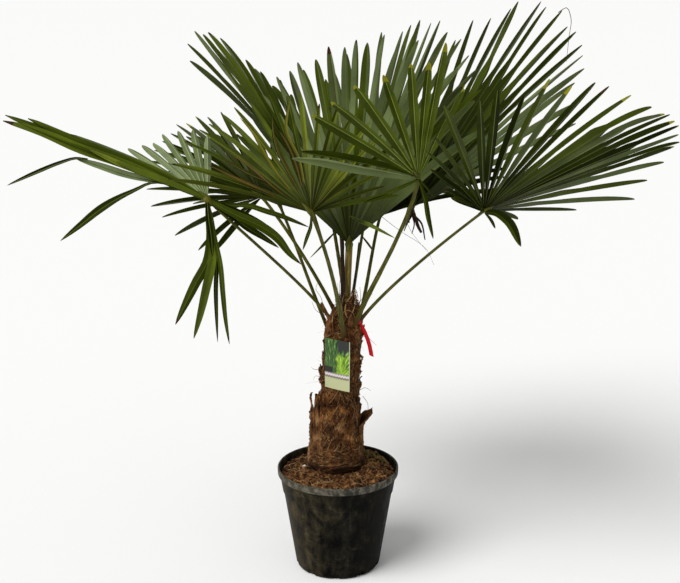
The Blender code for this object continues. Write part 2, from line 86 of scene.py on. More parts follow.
def linkFinish(material, colour, relief=None, roughness=None):
    # the worked-out colour, relief (height, strength, depth in metres) and roughness reach the shader
    tree = material.node_tree
    sockets = {"Base Color": colour}
    if relief:
        sockets["Normal"] = addNode(tree, "Bump", dict(zip(("Height", "Strength", "Distance"), relief)))
    if roughness:
        sockets["Roughness"] = roughness
    for name, source in sockets.items():
        tree.links.new(source, tree.nodes["Principled BSDF"].inputs[name])
    return material


def latticeValue(x, y, z, seed):
    # a fixed pseudo-random value from -1 to 1 for each whole-number point
    mixed = (x * 374761393 + y * 668265263 + z * 1442695041 + seed * 974634777) & 0xffffffff
    mixed = ((mixed ^ (mixed >> 13)) * 1274126177) & 0xffffffff
    return (mixed ^ (mixed >> 16)) / 2147483647.5 - 1


def smoothNoise(x, y, z, seed=0):
    # value noise: the lattice values blended with a smooth step
    whole = [np.floor(axis).astype(np.int64) for axis in (x, y, z)]
    part = [axis - base for axis, base in zip((x, y, z), whole)]
    blend = [share * share * (3 - 2 * share) for share in part]
    total = 0.0
    for dx in (0, 1):
        for dy in (0, 1):
            for dz in (0, 1):
                weight = ((blend[0] if dx else 1 - blend[0]) * (blend[1] if dy else 1 - blend[1])
                          * (blend[2] if dz else 1 - blend[2]))
                total = total + weight * latticeValue(whole[0] + dx, whole[1] + dy, whole[2] + dz, seed)
    return total


def roughNoise(x, y, z, octaves=3, seed=0):
    # smooth noise summed over octaves, each half as wide and half as high
    total = 0.0
    for octave in range(octaves):
        scale = 2 ** octave
        total = total + smoothNoise(x * scale, y * scale, z * scale, seed + octave) / scale
    return total


def smoothStep(share):
    # 3 s squared - 2 s cubed, level at 0 and at 1
    share = np.clip(share, 0, 1)
    return share * share * (3 - 2 * share)


def ringNoise(angle, height, around, seed, octaves=1):
    # noise round a trunk that closes on itself: around is how fine it is, height is scaled already
    return roughNoise(np.cos(angle) * around, np.sin(angle) * around, height, octaves, seed)


def unit(vectors):
    return vectors / np.linalg.norm(vectors, axis=-1, keepdims=True)


def heading(angle):
    # the level direction at an angle in degrees
    return np.array([math.cos(math.radians(angle)), math.sin(math.radians(angle)), 0.0])


def ringAngles(sides):
    return np.arange(sides) * 2 * np.pi / sides


def pathLengths(path):
    # metres along a path, from its first point
    return np.concatenate([[0], np.cumsum(np.linalg.norm(np.diff(path, axis=0), axis=1))])


def makePiece(name, points, faces, finishes, picks=None, uv=None, crease=None, replaced=()):
    # a mesh object at the origin from whole arrays of points and faces
    mesh = bpy.data.meshes.new(name)
    mesh.from_pydata(np.asarray(points, dtype=float).reshape(-1, 3).tolist(), [],
                     faces if isinstance(faces, list) else faces.tolist())
    for finish in finishes:
        mesh.materials.append(finish)
    if picks is not None:
        mesh.polygons.foreach_set("material_index", np.asarray(picks, dtype=np.int32))
    if uv is not None:
        layer = mesh.uv_layers.new(name="UVMap")
        corners = np.empty(len(mesh.loops), dtype=np.int32)
        mesh.loops.foreach_get("vertex_index", corners)
        layer.data.foreach_set("uv", np.asarray(uv, dtype=np.float32).reshape(-1, 2)[corners].ravel())
    if crease is not None:
        mesh.polygons.foreach_set("use_smooth", np.ones(len(mesh.polygons), dtype=bool))
        if crease < 180:
            mesh.set_sharp_from_angle(angle=math.radians(crease))
    mesh.update()
    piece = bpy.data.objects.new(name, mesh)
    bpy.context.scene.collection.objects.link(piece)
    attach(piece, rootBody)
    if replaced:
        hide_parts(*replaced)


def gridFaces(rows, columns, closedColumns=False, closedRows=False):
    # quads of a grid of points numbered row by row, which may close on itself either way
    row, column = np.meshgrid(np.arange(rows if closedRows else rows - 1),
                              np.arange(columns if closedColumns else columns - 1), indexing="ij")
    above, following = (row + 1) % rows * columns, (column + 1) % columns
    faces = np.stack([row * columns + column, row * columns + following, above + following,
                      above + column], axis=-1)
    return faces.reshape(-1, 4)


def tubeFaces(rows, sides, inward=False, offset=0):
    # a tube of rings, closed at both ends by a fan to one of the two points that follow the rings
    column = np.arange(sides)
    following = (column + 1) % sides
    last, hub = (rows - 1) * sides, np.full_like(column, rows * sides)
    fans = np.concatenate([np.stack([following, column, hub], axis=-1),
                           np.stack([last + column, last + following, hub + 1], axis=-1)])
    way = -1 if inward else 1
    return ((gridFaces(rows, sides, True)[:, ::way] + offset).tolist()
            + (fans[:, ::way] + offset).tolist())


# finishes

leafSurface = {
    "ribs": (26.0, 9.0, 1.0),                # across one leaflet, and along each metre
    "veins": ((0.45, 0.688), (1.0, 1.384)),  # place in the pattern, share of the leaf's own colour
    # shade is painted shade: an olive multiplied into the leaf colour near the hub, and shadeReach is how
    # far it reaches
    "shade": "8C8650", "shadeReach": 0.23,   # olive, and how far from the hub it reaches
}


def leafFinish(name, colour, roughness, sheen):
    # living palm leaf, waxed and finely ribbed along its length: a soft sheen, thin parallel veins, and
    # painted shade, an olive darkening that deepens towards the hub, where the folds close
    material, tree = newFinish(name, roughness, sheen)
    uv = addNode(tree, "UVMap", uv_map="UVMap")
    ribbed = addNode(tree, "Mapping", {"Vector": uv, "Scale": leafSurface["ribs"]})
    veins = addNode(tree, "TexNoise", {"Vector": ribbed, "Scale": 1.0, "Detail": 2.0, "Roughness": 0.6})
    place = addNode(tree, "TexCoord", output="Object")
    mottle = addNode(tree, "TexNoise", {"Vector": place, "Scale": 14.0, "Detail": 3.0})
    mixed = addNode(tree, "Math", (veins, 0.55, mottle), operation="MULTIPLY_ADD")
    own = np.array(toLinear(colour)[:3])
    stops = [(place, (*np.minimum(own * light, 1).tolist(), 1.0)) for place, light in leafSurface["veins"]]
    striped = addNode(tree, "ValToRGB", (mixed,), stops=stops)
    # the second coordinate holds metres from the hub after its whole number, which sorts the leaflets
    metres = addNode(tree, "Math", (addNode(tree, "SeparateXYZ", (uv,), "Y"),), operation="FRACT")
    # painted shade: the colour is multiplied by olive over the last metres to the hub
    near = addNode(tree, "MapRange", {"Value": metres, "From Min": leafSurface["shadeReach"],
                                      "From Max": 0.0})
    hubShaded = addNode(tree, "Mix", {"Factor": near, "A": striped, "B": leafSurface["shade"]},
                    data_type="RGBA", blend_type="MULTIPLY")
    return linkFinish(material, hubShaded, (veins, 0.25, 0.0006))


leafTones = {
    # name: (colour, roughness, sheen of the wax)
    "shade": ("151B00", 0.48, 0.02),      # oldest blades, nearly black green
    "deep": ("232C01", 0.46, 0.035),      # the common dark green of the upper face
    "mid": ("374206", 0.46, 0.05),
    "fresh": ("4B5810", 0.44, 0.08),      # younger and brighter
    "bright": ("66701C", 0.42, 0.12),     # the brightest, on thin leaflets
    "grey": ("46502A", 0.50, 0.10),       # underside, with a grey bloom
    "sage": ("5C683E", 0.52, 0.14),       # paler underside
    "pale": ("6E7A52", 0.55, 0.18),       # the palest underside
    "rib": ("4A5414", 0.42, 0.18),        # midrib
    "ribPale": ("8A9668", 0.50, 0.25),    # midrib, pale underside
    "edge": ("76823A", 0.42, 0.20),       # light midrib of a young blade
    "tip": ("86840E", 0.50, 0.15),        # yellowed tip
    "dry": ("38240E", 0.75, 0.10),        # dried brown
    "withered": ("4C3610", 0.72, 0.10),   # withered strand, tan brown
    "yellowing": ("66600F", 0.60, 0.14),  # yellowing strand
}
leafFinishes = [leafFinish("leaf" + name[0].upper() + name[1:], *tone) for name, tone in leafTones.items()]
toneIndex = {name: place for place, name in enumerate(leafTones)}


def stalkFinish(name, stops):
    # smooth waxed leaf stalk, streaked along its length and browner in the last 60 mm to the sheath
    material, tree = newFinish(name, 0.46, 0.12)
    uv = addNode(tree, "UVMap", uv_map="UVMap")
    stretch = addNode(tree, "Mapping", {"Vector": uv, "Scale": (10.0, 30.0, 1.0)})
    streaks = addNode(tree, "TexNoise", {"Vector": stretch, "Scale": 1.0, "Detail": 3.0})
    green = addNode(tree, "ValToRGB", (streaks,), stops=stops)
    foot = addNode(tree, "MapRange", {"Value": addNode(tree, "SeparateXYZ", (uv,), "Y"),
                                      "From Min": 0.060, "From Max": 0.015})
    browned = addNode(tree, "Mix", {"Factor": foot, "A": green, "B": "45340E"}, data_type="RGBA")
    return linkFinish(material, browned, (streaks, 0.3, 0.0006))


def fibreFinish(name, stops, fine=420.0):
    # dry matted palm fibre, a coarse natural felt: dull, with dark gaps between paler threads that cross
    # two ways, and painted shade: darker low down, where it meets the soil. Fine is the number of threads
    # to a metre
    material, tree = newFinish(name, 0.92, 0.15)
    place = addNode(tree, "TexCoord", output="Object")
    layers = []
    for way in (1.0, -1.0):
        turned = addNode(tree, "Mapping", {"Vector": place, "Rotation": (0.0, 0.9 * way, 0.55 * way),
                                           "Scale": (fine, fine, fine * 0.10)})
        layers.append(addNode(tree, "TexNoise", {"Vector": turned, "Scale": 1.0, "Detail": 3.0,
                                                 "Roughness": 0.65}))
    crossed = addNode(tree, "Math", layers, operation="MAXIMUM")
    broad = addNode(tree, "TexNoise", {"Vector": place, "Scale": 34.0, "Detail": 4.0})
    mixed = addNode(tree, "Mix", {"Factor": 0.5, "A": crossed, "B": broad})
    felt = addNode(tree, "ValToRGB", (mixed,), stops=stops)
    # painted shade: the felt is multiplied darker from 282 mm down to 250 mm, towards the soil
    low = addNode(tree, "MapRange", {"Value": addNode(tree, "SeparateXYZ", (place,), "Z"),
                                     "From Min": 0.282, "From Max": 0.250})
    footShaded = addNode(tree, "Mix", {"Factor": low, "A": felt, "B": "6E6862"}, data_type="RGBA",
                   blend_type="MULTIPLY")
    return linkFinish(material, footShaded, (crossed, 0.8, 0.0015))


trunkFelt = fibreFinish("palmTrunkMattedFibre",
                        [(0.41, "140902"), (0.48, "3C200A"), (0.545, "643C19"), (0.65, "A0733F")])
sheathFelt = fibreFinish("leafSheathDryFibre",
                         [(0.39, "1A0C04"), (0.47, "44270E"), (0.55, "6C4424"), (0.67, "A07448")], 300.0)
leafBaseBark = fibreFinish("oldLeafBaseWeathered",
                           [(0.39, "1C0F06"), (0.47, "442A13"), (0.55, "684626"), (0.67, "98734C")], 240.0)
barkChip = fibreFinish("barkChipBroken",
                       [(0.34, "2A170A"), (0.48, "583416"), (0.60, "86592F"), (0.74, "B58A58")], 300.0)


def slowFinish(name, stops, scale=60.0, roughness=0.8, specular=0.25):
    # single loose threads and a worn pebble: too small for a pattern, so only a slow change of colour
    material, tree = newFinish(name, roughness, specular)
    place = addNode(tree, "TexCoord", output="Object")
    slow = addNode(tree, "TexNoise", {"Vector": place, "Scale": scale, "Detail": 2.0})
    return linkFinish(material, addNode(tree, "ValToRGB", (slow,), stops=stops))


threadFinishes = [slowFinish("looseFibreDark", [(0.35, "200F05"), (0.65, "3C210C")]),
                  slowFinish("looseFibreBrown", [(0.35, "4E2C10"), (0.65, "7A4E24")]),
                  slowFinish("looseFibreWeathered", [(0.35, "7C5A34"), (0.65, "A9865A")])]
threadDark, threadBrown, threadPale = threadFinishes
pebbleChalk = slowFinish("chalkPebbleWorn", [(0.3, "B9AE98"), (0.6, "E8E2D2")], 600.0, 0.7, 0.5)


def soilFinish():
    # moist potting mix of peat, bark and coir: matt, crumbly, paler crumbs, moss on one side
    material, tree = newFinish("pottingSoilMoist", 0.95, 0.2)
    place = addNode(tree, "TexCoord", output="Object")
    crumbs = addNode(tree, "TexVoronoi", {"Vector": place, "Scale": 260.0})
    grain = addNode(tree, "TexNoise", {"Vector": place, "Scale": 120.0, "Detail": 5.0, "Roughness": 0.7})
    clods = addNode(tree, "TexNoise", {"Vector": place, "Scale": 32.0, "Detail": 3.0})
    earth = addNode(tree, "ValToRGB", (addNode(tree, "Mix", {"Factor": 0.4, "A": grain, "B": clods}),),
                    stops=[(0.39, "120803"), (0.465, "3A220E"), (0.535, "64401F"), (0.62, "A67B4C")])
    moved = addNode(tree, "Mapping", {"Vector": place, "Location": (-0.092, -0.088, -0.25)})
    away = addNode(tree, "VectorMath", (moved,), operation="LENGTH")
    near = addNode(tree, "MapRange", {"Value": away, "From Min": 0.070, "From Max": 0.020, "To Max": 1.3})
    patchy = addNode(tree, "TexNoise", {"Vector": place, "Scale": 55.0, "Detail": 3.0})
    cover = addNode(tree, "Math", (near, patchy), operation="MULTIPLY")
    mossy = addNode(tree, "Mix", {"Factor": cover, "A": earth, "B": "77753A"}, data_type="RGBA")
    rough = addNode(tree, "Math", (crumbs, grain), operation="ADD")
    return linkFinish(material, mossy, (rough, 0.7, 0.002))


soilCrumb = soilFinish()


def layCovers(tree, colour, covers):
    # colours laid over one another, each as strong as the product of its edges. An edge is a value,
    # where it starts and where it is full, with its least and most where those aren't 0 and 1
    for cover, *edges in covers:
        share = 1.0
        for value, start, full, *span in edges:
            least, most = span or (0.0, 1.0)
            edge = addNode(tree, "MapRange", {"Value": value, "From Min": start, "From Max": full,
                                              "To Min": least, "To Max": most})
            share = addNode(tree, "Math", (share, edge), operation="MULTIPLY")
        colour = addNode(tree, "Mix", {"Factor": share, "A": colour, "B": cover}, data_type="RGBA")
    return colour


def potFinish():
    # injection-moulded recycled polypropylene, used outdoors: charcoal, dull, dusty and water-stained,
    # with a rim that is scuffed pale, a left side painted lighter brown, part mud and part painted light,
    # and a right side darkened with painted shade
    material, tree = newFinish("nurseryPotMouldedPolypropylene", 0.55, 0.04)
    place = addNode(tree, "TexCoord", output="Object")
    tall = addNode(tree, "Mapping", {"Vector": place, "Scale": (44.0, 44.0, 9.0)})
    streaks = addNode(tree, "TexNoise", {"Vector": tall, "Scale": 1.0, "Detail": 5.0, "Roughness": 0.62})
    blotch = addNode(tree, "TexNoise", {"Vector": place, "Scale": 22.0, "Detail": 6.0, "Roughness": 0.72,
                                        "Distortion": 0.8})
    stains = addNode(tree, "Mix", {"Factor": 0.6, "A": streaks, "B": blotch})
    colour = addNode(tree, "ValToRGB", (stains,), stops=[
        (0.42, "030303"), (0.49, "0F0E0B"), (0.56, "211F18"), (0.67, "474134")])
    east, up = (addNode(tree, "SeparateXYZ", (place,), axis) for axis in "XZ")
    flat = addNode(tree, "VectorMath", (place, (1.0, 1.0, 0.0)), operation="MULTIPLY")
    away = addNode(tree, "VectorMath", (flat,), operation="LENGTH")
    scuff = addNode(tree, "TexNoise", {"Vector": place, "Scale": 60.0, "Detail": 6.0, "Roughness": 0.75})
    colour = layCovers(tree, colour, (
        # painted light and mud: the left side is lighter brown where the light falls, and with mud washed
        # down
        ("5A5038", (east, 0.02, -0.12, 0.0, 0.55), (stains, 0.40, 0.62)),    # mud washed down one side
        # painted shade: the right side, away from the light, is darkened
        ("050503", (east, 0.0, 0.10, 0.0, 0.5)),                             # the far side is darker
        ("827D70", (up, 0.2405, 0.2425), (away, 0.1448, 0.1462),
         (scuff, 0.46, 0.72, 0.14, 0.99)),                                   # the scuffed rim
    ))
    dull = addNode(tree, "MapRange", {"Value": stains, "From Min": 0.42, "From Max": 0.62, "To Min": 0.40,
                                      "To Max": 0.75})
    grain = addNode(tree, "TexNoise", {"Vector": place, "Scale": 900.0, "Detail": 2.0})
    return linkFinish(material, colour, (grain, 0.15, 0.0004), dull)


potPlastic = potFinish()


def ribbonFinish():
    # woven satin ribbon: bright red, with a fine cross rib every 1.5 mm, drawn coarse enough to show
    material, tree = newFinish("satinRibbonWoven", 0.5, 0.2)
    uv = addNode(tree, "UVMap", uv_map="UVMap")
    ribs = addNode(tree, "TexWave", {"Vector": uv, "Scale": 210.0, "Distortion": 0.4}, "Fac",
                   bands_direction="Y")
    red = addNode(tree, "ValToRGB", (ribs,), stops=[(0.1, "A20410"), (0.9, "D8101E")])
    return linkFinish(material, red, (ribs, 0.4, 0.0003))


ribbonRed = ribbonFinish()
spraysPrinted = (
    # middle across the card, foot up the card, seed, greens from dark to light
    (0.30, 0.34, 0.0, [(0.34, "12280C"), (0.50, "33581E"), (0.62, "5F8A3C"), (0.76, "A8C486")]),
    (0.66, 0.30, 7.0, [(0.32, "33520E"), (0.48, "6E9A1E"), (0.60, "A4C63A"), (0.74, "DDEC8C")]),
)


def cardFinish():
    # printed card under clear film: a plain design of two green sprays over a cream foot, no words
    material, tree = newFinish("cardPrintedUnderFilm", 0.38, 0.35)
    uv = addNode(tree, "UVMap", uv_map="UVMap")
    across, up = (addNode(tree, "SeparateXYZ", (uv,), axis) for axis in "XY")
    sprays = []
    for middle, base, seed, greens in spraysPrinted:
        # noise over the angle and the distance from the spray's foot draws blades that fan out
        moved = addNode(tree, "Mapping", {"Vector": uv, "Location": (-middle, -1.7 * base, 0.0),
                                          "Scale": (1.0, 1.7, 1.0)})
        turn = addNode(tree, "Math", [addNode(tree, "SeparateXYZ", (moved,), axis) for axis in "XY"],
                       operation="ARCTAN2")
        away = addNode(tree, "VectorMath", (moved,), operation="LENGTH")
        fan = addNode(tree, "Mapping", {"Vector": addNode(tree, "CombineXYZ", (turn, away)),
                                        "Location": (0.0, 0.0, seed), "Scale": (7.5, 2.2, 1.0)})
        blades = addNode(tree, "TexNoise", {"Vector": fan, "Scale": 1.6, "Detail": 2.0, "Roughness": 0.6})
        sprays.append(addNode(tree, "ValToRGB", (blades,), stops=greens))
    rough = addNode(tree, "TexNoise", {"Vector": uv, "Scale": 9.0, "Detail": 3.0})
    ragged = addNode(tree, "Math", (rough, 0.30, -0.15), operation="MULTIPLY_ADD")
    raggedAcross, raggedUp = (addNode(tree, "Math", (edge, ragged), operation="ADD")
                              for edge in (across, up))
    wave = addNode(tree, "Math", (across, 30.0), operation="MULTIPLY")
    for operation in ("SINE", "ABSOLUTE"):
        wave = addNode(tree, "Math", (wave,), operation=operation)
    scalloped = addNode(tree, "Math", (wave, 0.030, up), operation="MULTIPLY_ADD")
    return linkFinish(material, layCovers(tree, sprays[0], (
        (sprays[1], (raggedAcross, 0.46, 0.52), (raggedUp, 0.74, 0.66)),
        ("272A26", (across, 0.52, 0.56), (raggedUp, 0.76, 0.80)),      # dusk above the second spray
        ("1C1D14", (raggedAcross, 0.36, 0.30), (up, 0.46, 0.43)),      # earth below the first
        ("8E8484", (up, 0.330, 0.320)),                                # the foot and its
        ("DCD2D2", (scalloped, 0.330, 0.315)),                         # scalloped bands
        ("6E6858", (scalloped, 0.288, 0.278)),
        ("B7BA8C", (scalloped, 0.252, 0.236)),
        ("BFC2A2", (across, 0.975, 0.985)),                            # the film's pale edge
    )))


cardGloss = cardFinish()
print("finishes made")


# the pot: a profile turned round the Z axis, with a rolled lip, a step and drain slots at its foot

pot = {
    "height": 0.260, "lipRadius": 0.150, "lipDepth": 0.018, "stepHeight": 0.200,
    "baseRadius": 0.108, "footRadius": 0.096, "wall": 0.003, "floor": 0.005,
    "stepDepth": 0.0022, "sides": 200, "slots": 10, "slotWidth": 0.016, "slotHeight": 0.0063,
    "slotEdge": 0.0016, "slotTurn": 0.4, "outOfRound": 0.0018,
}


def potWallRadius(height):
    # the outer wall tapers evenly and stands prouder above the step
    top = pot["lipRadius"] - 0.006
    share = height / (pot["height"] - pot["lipDepth"])
    inset = np.where(height > pot["stepHeight"], 0.0, pot["stepDepth"])
    return pot["baseRadius"] - 0.002 + (top - pot["baseRadius"] + 0.002) * share - inset


def makePot():
    lip, high, wall = pot["lipRadius"], pot["height"], pot["wall"]
    underLip = high - pot["lipDepth"]
    foot = pot["footRadius"]
    outer = [(foot - 0.004, 0.0), (foot, 0.0), (foot + 0.004, 0.0012), (foot + 0.0066, 0.0040)]
    outer += [(float(potWallRadius(z)), z) for z in (0.0075, 0.0105, 0.016, 0.05, 0.10, 0.15, 0.1975,
                                                     0.1990, 0.2004, 0.2020, 0.22, underLip - 0.003)]
    outer += [(lip - 0.0030, underLip - 0.0006), (lip - 0.0014, underLip + 0.0002),
              (lip - 0.0006, underLip + 0.0016), (lip - 0.0002, underLip + 0.008), (lip, high - 0.0040),
              (lip - 0.0003, high - 0.0018), (lip - 0.0012, high - 0.0005), (lip - 0.0026, high)]
    inner = [(lip - wall - 0.0008, high - 0.0006), (lip - wall - 0.0022, high - 0.0030),
             (lip - wall - 0.0040, underLip + 0.002)]
    inner += [(float(potWallRadius(z)) - wall, z) for z in (0.215, 0.20, 0.10, 0.03)]
    inner += [(pot["baseRadius"] - wall - 0.006, pot["floor"])]
    profile = np.array(outer + inner)
    radius, turn = np.meshgrid(profile[:, 0], ringAngles(pot["sides"]), indexing="ij")
    height, row = np.broadcast_to(profile[:, 1:], radius.shape), np.arange(len(profile))[:, None]
    # drain slots: where one lies, the foot's lowest rows are pushed up and in
    spacing = 2 * np.pi / pot["slots"]
    offSlot = (turn - pot["slotTurn"] * spacing + spacing / 2) % spacing - spacing / 2
    depth = np.clip((pot["slotWidth"] / 2 - np.abs(offSlot) * foot) / pot["slotEdge"], 0, 1)
    lowered = ((row >= 1) & (row <= 5)) * depth
    radius = radius - lowered * np.clip(radius - (foot + 0.0008), 0, None)
    height = np.where((row >= 2) & (row <= 5), np.maximum(height, lowered * pot["slotHeight"]), height)
    # a moulded wall is never quite round
    oval = pot["outOfRound"] * np.sin(2 * turn + 0.6)
    radius = radius * (1 + oval * np.clip(height / high, 0, 1))
    points = np.stack([radius * np.cos(turn), radius * np.sin(turn), height], axis=-1)
    hubs = np.array([[0, 0, 0.0], [0, 0, pot["floor"]]])
    makePiece("potShell", np.vstack([points.reshape(-1, 3), hubs]), tubeFaces(len(profile), pot["sides"]),
              [potPlastic], crease=32, replaced=("pot",))


makePot()
print("pot made")


# the soil: a crumbly mound inside the pot

soil = {
    "edgeHeight": 0.2430, "moundHeight": 0.2575, "bedRadius": 0.055, "edgeRadius": 0.139,
    "lumps": 0.0042, "crumbs": 0.0034, "furrowDepth": 0.0125, "furrowRadius": 0.0665,
    "heap": (0.092, 0.088), "heapHeight": 0.010, "heapWidth": 0.042, "gap": 0.0008, "rings": 84,
    "sides": 240, "chips": 620, "threads": 260,
    # place, size, and the radians that it is turned and tilted by
    "pebble": ((-0.084, 0.004, 0.2545), (0.008, 0.007, 0.006), 0.6, 0.2),
}
trunkFoot = np.array([-0.006, 0.020])


def soilHeight(x, y):
    # level bed round the trunk that falls to the rim, with lumps and crumbs
    away = np.hypot(x, y)
    share = np.clip((away - soil["bedRadius"]) / (soil["edgeRadius"] - soil["bedRadius"]), 0, 1)
    mound = soil["moundHeight"] - (soil["moundHeight"] - soil["edgeHeight"]) * share ** 1.5
    lumps = soil["lumps"] * roughNoise(x * 38, y * 38, np.zeros_like(x), 3, 3)
    crumbs = soil["crumbs"] * roughNoise(x * 150, y * 150, np.zeros_like(x), 2, 9)
    near = np.clip((0.140 - away) / 0.02, 0, 1)
    # a dark furrow where the soil has shrunk from the trunk's foot
    fromTrunk = np.hypot(x - trunkFoot[0], y - trunkFoot[1])
    furrow = soil["furrowDepth"] * np.exp(-((fromTrunk - soil["furrowRadius"]) / 0.0075) ** 2)
    furrow = furrow * (0.75 + 0.25 * smoothNoise(x * 30, y * 30, np.zeros_like(x), 13))
    # a mossy heap against the wall behind, on the right
    fromHeap = np.hypot(x - soil["heap"][0], y - soil["heap"][1])
    heap = soil["heapHeight"] * np.exp(-(fromHeap / soil["heapWidth"]) ** 2)
    return mound - furrow + heap + (lumps + crumbs) * (0.35 + 0.65 * near)


def makeSoil():
    # the mound, the side that hugs the pot's wall, and the underside just above its floor
    top, low = (float(potWallRadius(height)) - pot["wall"] - soil["gap"] for height in (0.236, 0.03))
    ring = np.linspace(0, 1, soil["rings"] + 1)[1:] * top
    radius, turn = np.meshgrid([*ring, low, 0.097], ringAngles(soil["sides"]), indexing="ij")
    x, y = radius * np.cos(turn), radius * np.sin(turn)
    height = soilHeight(x, y)
    bottom = pot["floor"] + 0.0004
    height[-2:] = [[0.03], [bottom]]
    points = np.stack([x, y, height], axis=-1).reshape(-1, 3)
    middle = float(soilHeight(np.array(0.0), np.array(0.0)))
    makePiece("soilMound", np.vstack([points, [[0, 0, middle], [0, 0, bottom]]]),
              tubeFaces(len(radius), soil["sides"], True), [soilCrumb], crease=60,
              replaced=("soil",))


def spotsOnSoil(count, inner=0.074, outer=0.137):
    # places on the soil outside the trunk
    spots = rng.uniform(-outer, outer, (count * 4, 2))
    fits = (np.hypot(*spots.T) < outer) & (np.hypot(*(spots - trunkFoot).T) > inner)
    spots = spots[fits][:count]
    return np.column_stack([spots, soilHeight(spots[:, 0], spots[:, 1])])


def boxBits(spots, sizes, turns, tilts):
    # one irregular six-sided lump at each spot
    corners = np.array([[x, y, z] for x in (-1, 1) for y in (-1, 1) for z in (-1, 1)], dtype=float)
    lumps = corners[None] * (1 + rng.uniform(-0.35, 0.2, (len(spots), 8, 1))) * sizes[:, None, :] / 2
    turnCos, turnSin = np.cos(turns)[:, None], np.sin(turns)[:, None]
    tiltCos, tiltSin = np.cos(tilts)[:, None], np.sin(tilts)[:, None]
    x, y, z = lumps[..., 0], lumps[..., 1], lumps[..., 2]
    x, z = x * tiltCos - z * tiltSin, x * tiltSin + z * tiltCos
    x, y = x * turnCos - y * turnSin, x * turnSin + y * turnCos
    points = np.stack([x, y, z], axis=-1) + spots[:, None, :]
    quads = np.array([[0, 1, 3, 2], [4, 6, 7, 5], [0, 4, 5, 1], [2, 3, 7, 6], [0, 2, 6, 4], [1, 5, 7, 3]])
    faces = quads[None] + 8 * np.arange(len(spots))[:, None, None]
    return points.reshape(-1, 3), faces.reshape(-1, 4)


def tubeStrands(paths, radii):
    # three-sided threads that end in a point: paths (n, rows, 3), radii (n, rows)
    count, rows, _ = paths.shape
    along = unit(np.gradient(paths, axis=1))
    helper = np.where(np.abs(along[..., 2:3]) > 0.9, np.array([1.0, 0, 0]), upward)
    side = unit(np.cross(along, helper))
    other = np.cross(along, side)
    turns = ringAngles(3)
    ring = (side[:, :, None, :] * np.cos(turns)[:, None] + other[:, :, None, :] * np.sin(turns)[:, None])
    points = paths[:, :, None, :] + ring * radii[:, :, None, None]
    first = rows * 3 * np.arange(count)[:, None, None]
    faces = (gridFaces(rows, 3, True) + first).reshape(-1, 4)
    caps = (np.array([[2, 1, 0], [rows * 3 - 3, rows * 3 - 2, rows * 3 - 1]]) + first).reshape(-1, 3)
    return points.reshape(-1, 3), faces.tolist() + caps.tolist()


def makeThreadPiece(name, paths, radii, tones):
    # threads in the dark, brown and weathered finishes
    points, faces = tubeStrands(paths, radii)
    picks = np.concatenate([np.repeat(tones, 3 * (paths.shape[1] - 1)), np.repeat(tones, 2)])
    makePiece(name, points, faces, threadFinishes, picks=picks)


def makeSoilBits():
    spots = spotsOnSoil(soil["chips"])
    grow = 1 + 1.2 * rng.random((len(spots), 1)) ** 4
    sizes = grow * np.column_stack([rng.uniform(low, high, len(spots))
                                    for low, high in ((0.004, 0.011), (0.002, 0.005), (0.001, 0.003))])
    points, faces = boxBits(spots, sizes, rng.uniform(0, 2 * np.pi, len(spots)),
                            rng.normal(0, 0.35, len(spots)))
    makePiece("soilBarkChips", points, faces, [barkChip, soilCrumb],
              picks=np.repeat((rng.random(len(spots)) < 0.45).astype(int), 6))
    spots = spotsOnSoil(soil["threads"])
    share = np.linspace(0, 1, 6)
    turn = rng.uniform(0, 2 * np.pi, len(spots))
    length = rng.uniform(0.010, 0.038, len(spots))
    ways = np.column_stack([np.cos(turn), np.sin(turn), np.zeros(len(spots))])
    aside = np.column_stack([-np.sin(turn), np.cos(turn), np.zeros(len(spots))])
    curl = rng.normal(0, 0.35, len(spots))
    paths = (spots[:, None, :] + ways[:, None, :] * (share[None, :, None] - 0.5) * length[:, None, None]
             + aside[:, None, :] * (curl[:, None] * length[:, None] * (share - share ** 2))[:, :, None])
    away = np.hypot(paths[..., 0], paths[..., 1])[..., None]
    paths[..., :2] = paths[..., :2] * np.minimum(1, 0.1385 / away)
    paths[..., 2] = (soilHeight(paths[..., 0], paths[..., 1]) + 0.0006
                     + 0.004 * rng.random((len(spots), 1)) * np.sin(np.pi * share))
    radii = np.outer(rng.uniform(0.0004, 0.0010, len(spots)), 1 - 0.6 * share)
    points, faces = tubeStrands(paths, radii)
    makePiece("soilCoirThreads", points, faces, [threadPale])
    points, faces = boxBits(*(np.array([part]) for part in soil["pebble"]))
    makePiece("soilPebble", points, faces, [pebbleChalk])


makeSoil()
makeSoilBits()
print("soil made")


# the trunk: a leaning stem of matted fibre, its foot inside a wide torn sleeve of old sheaths

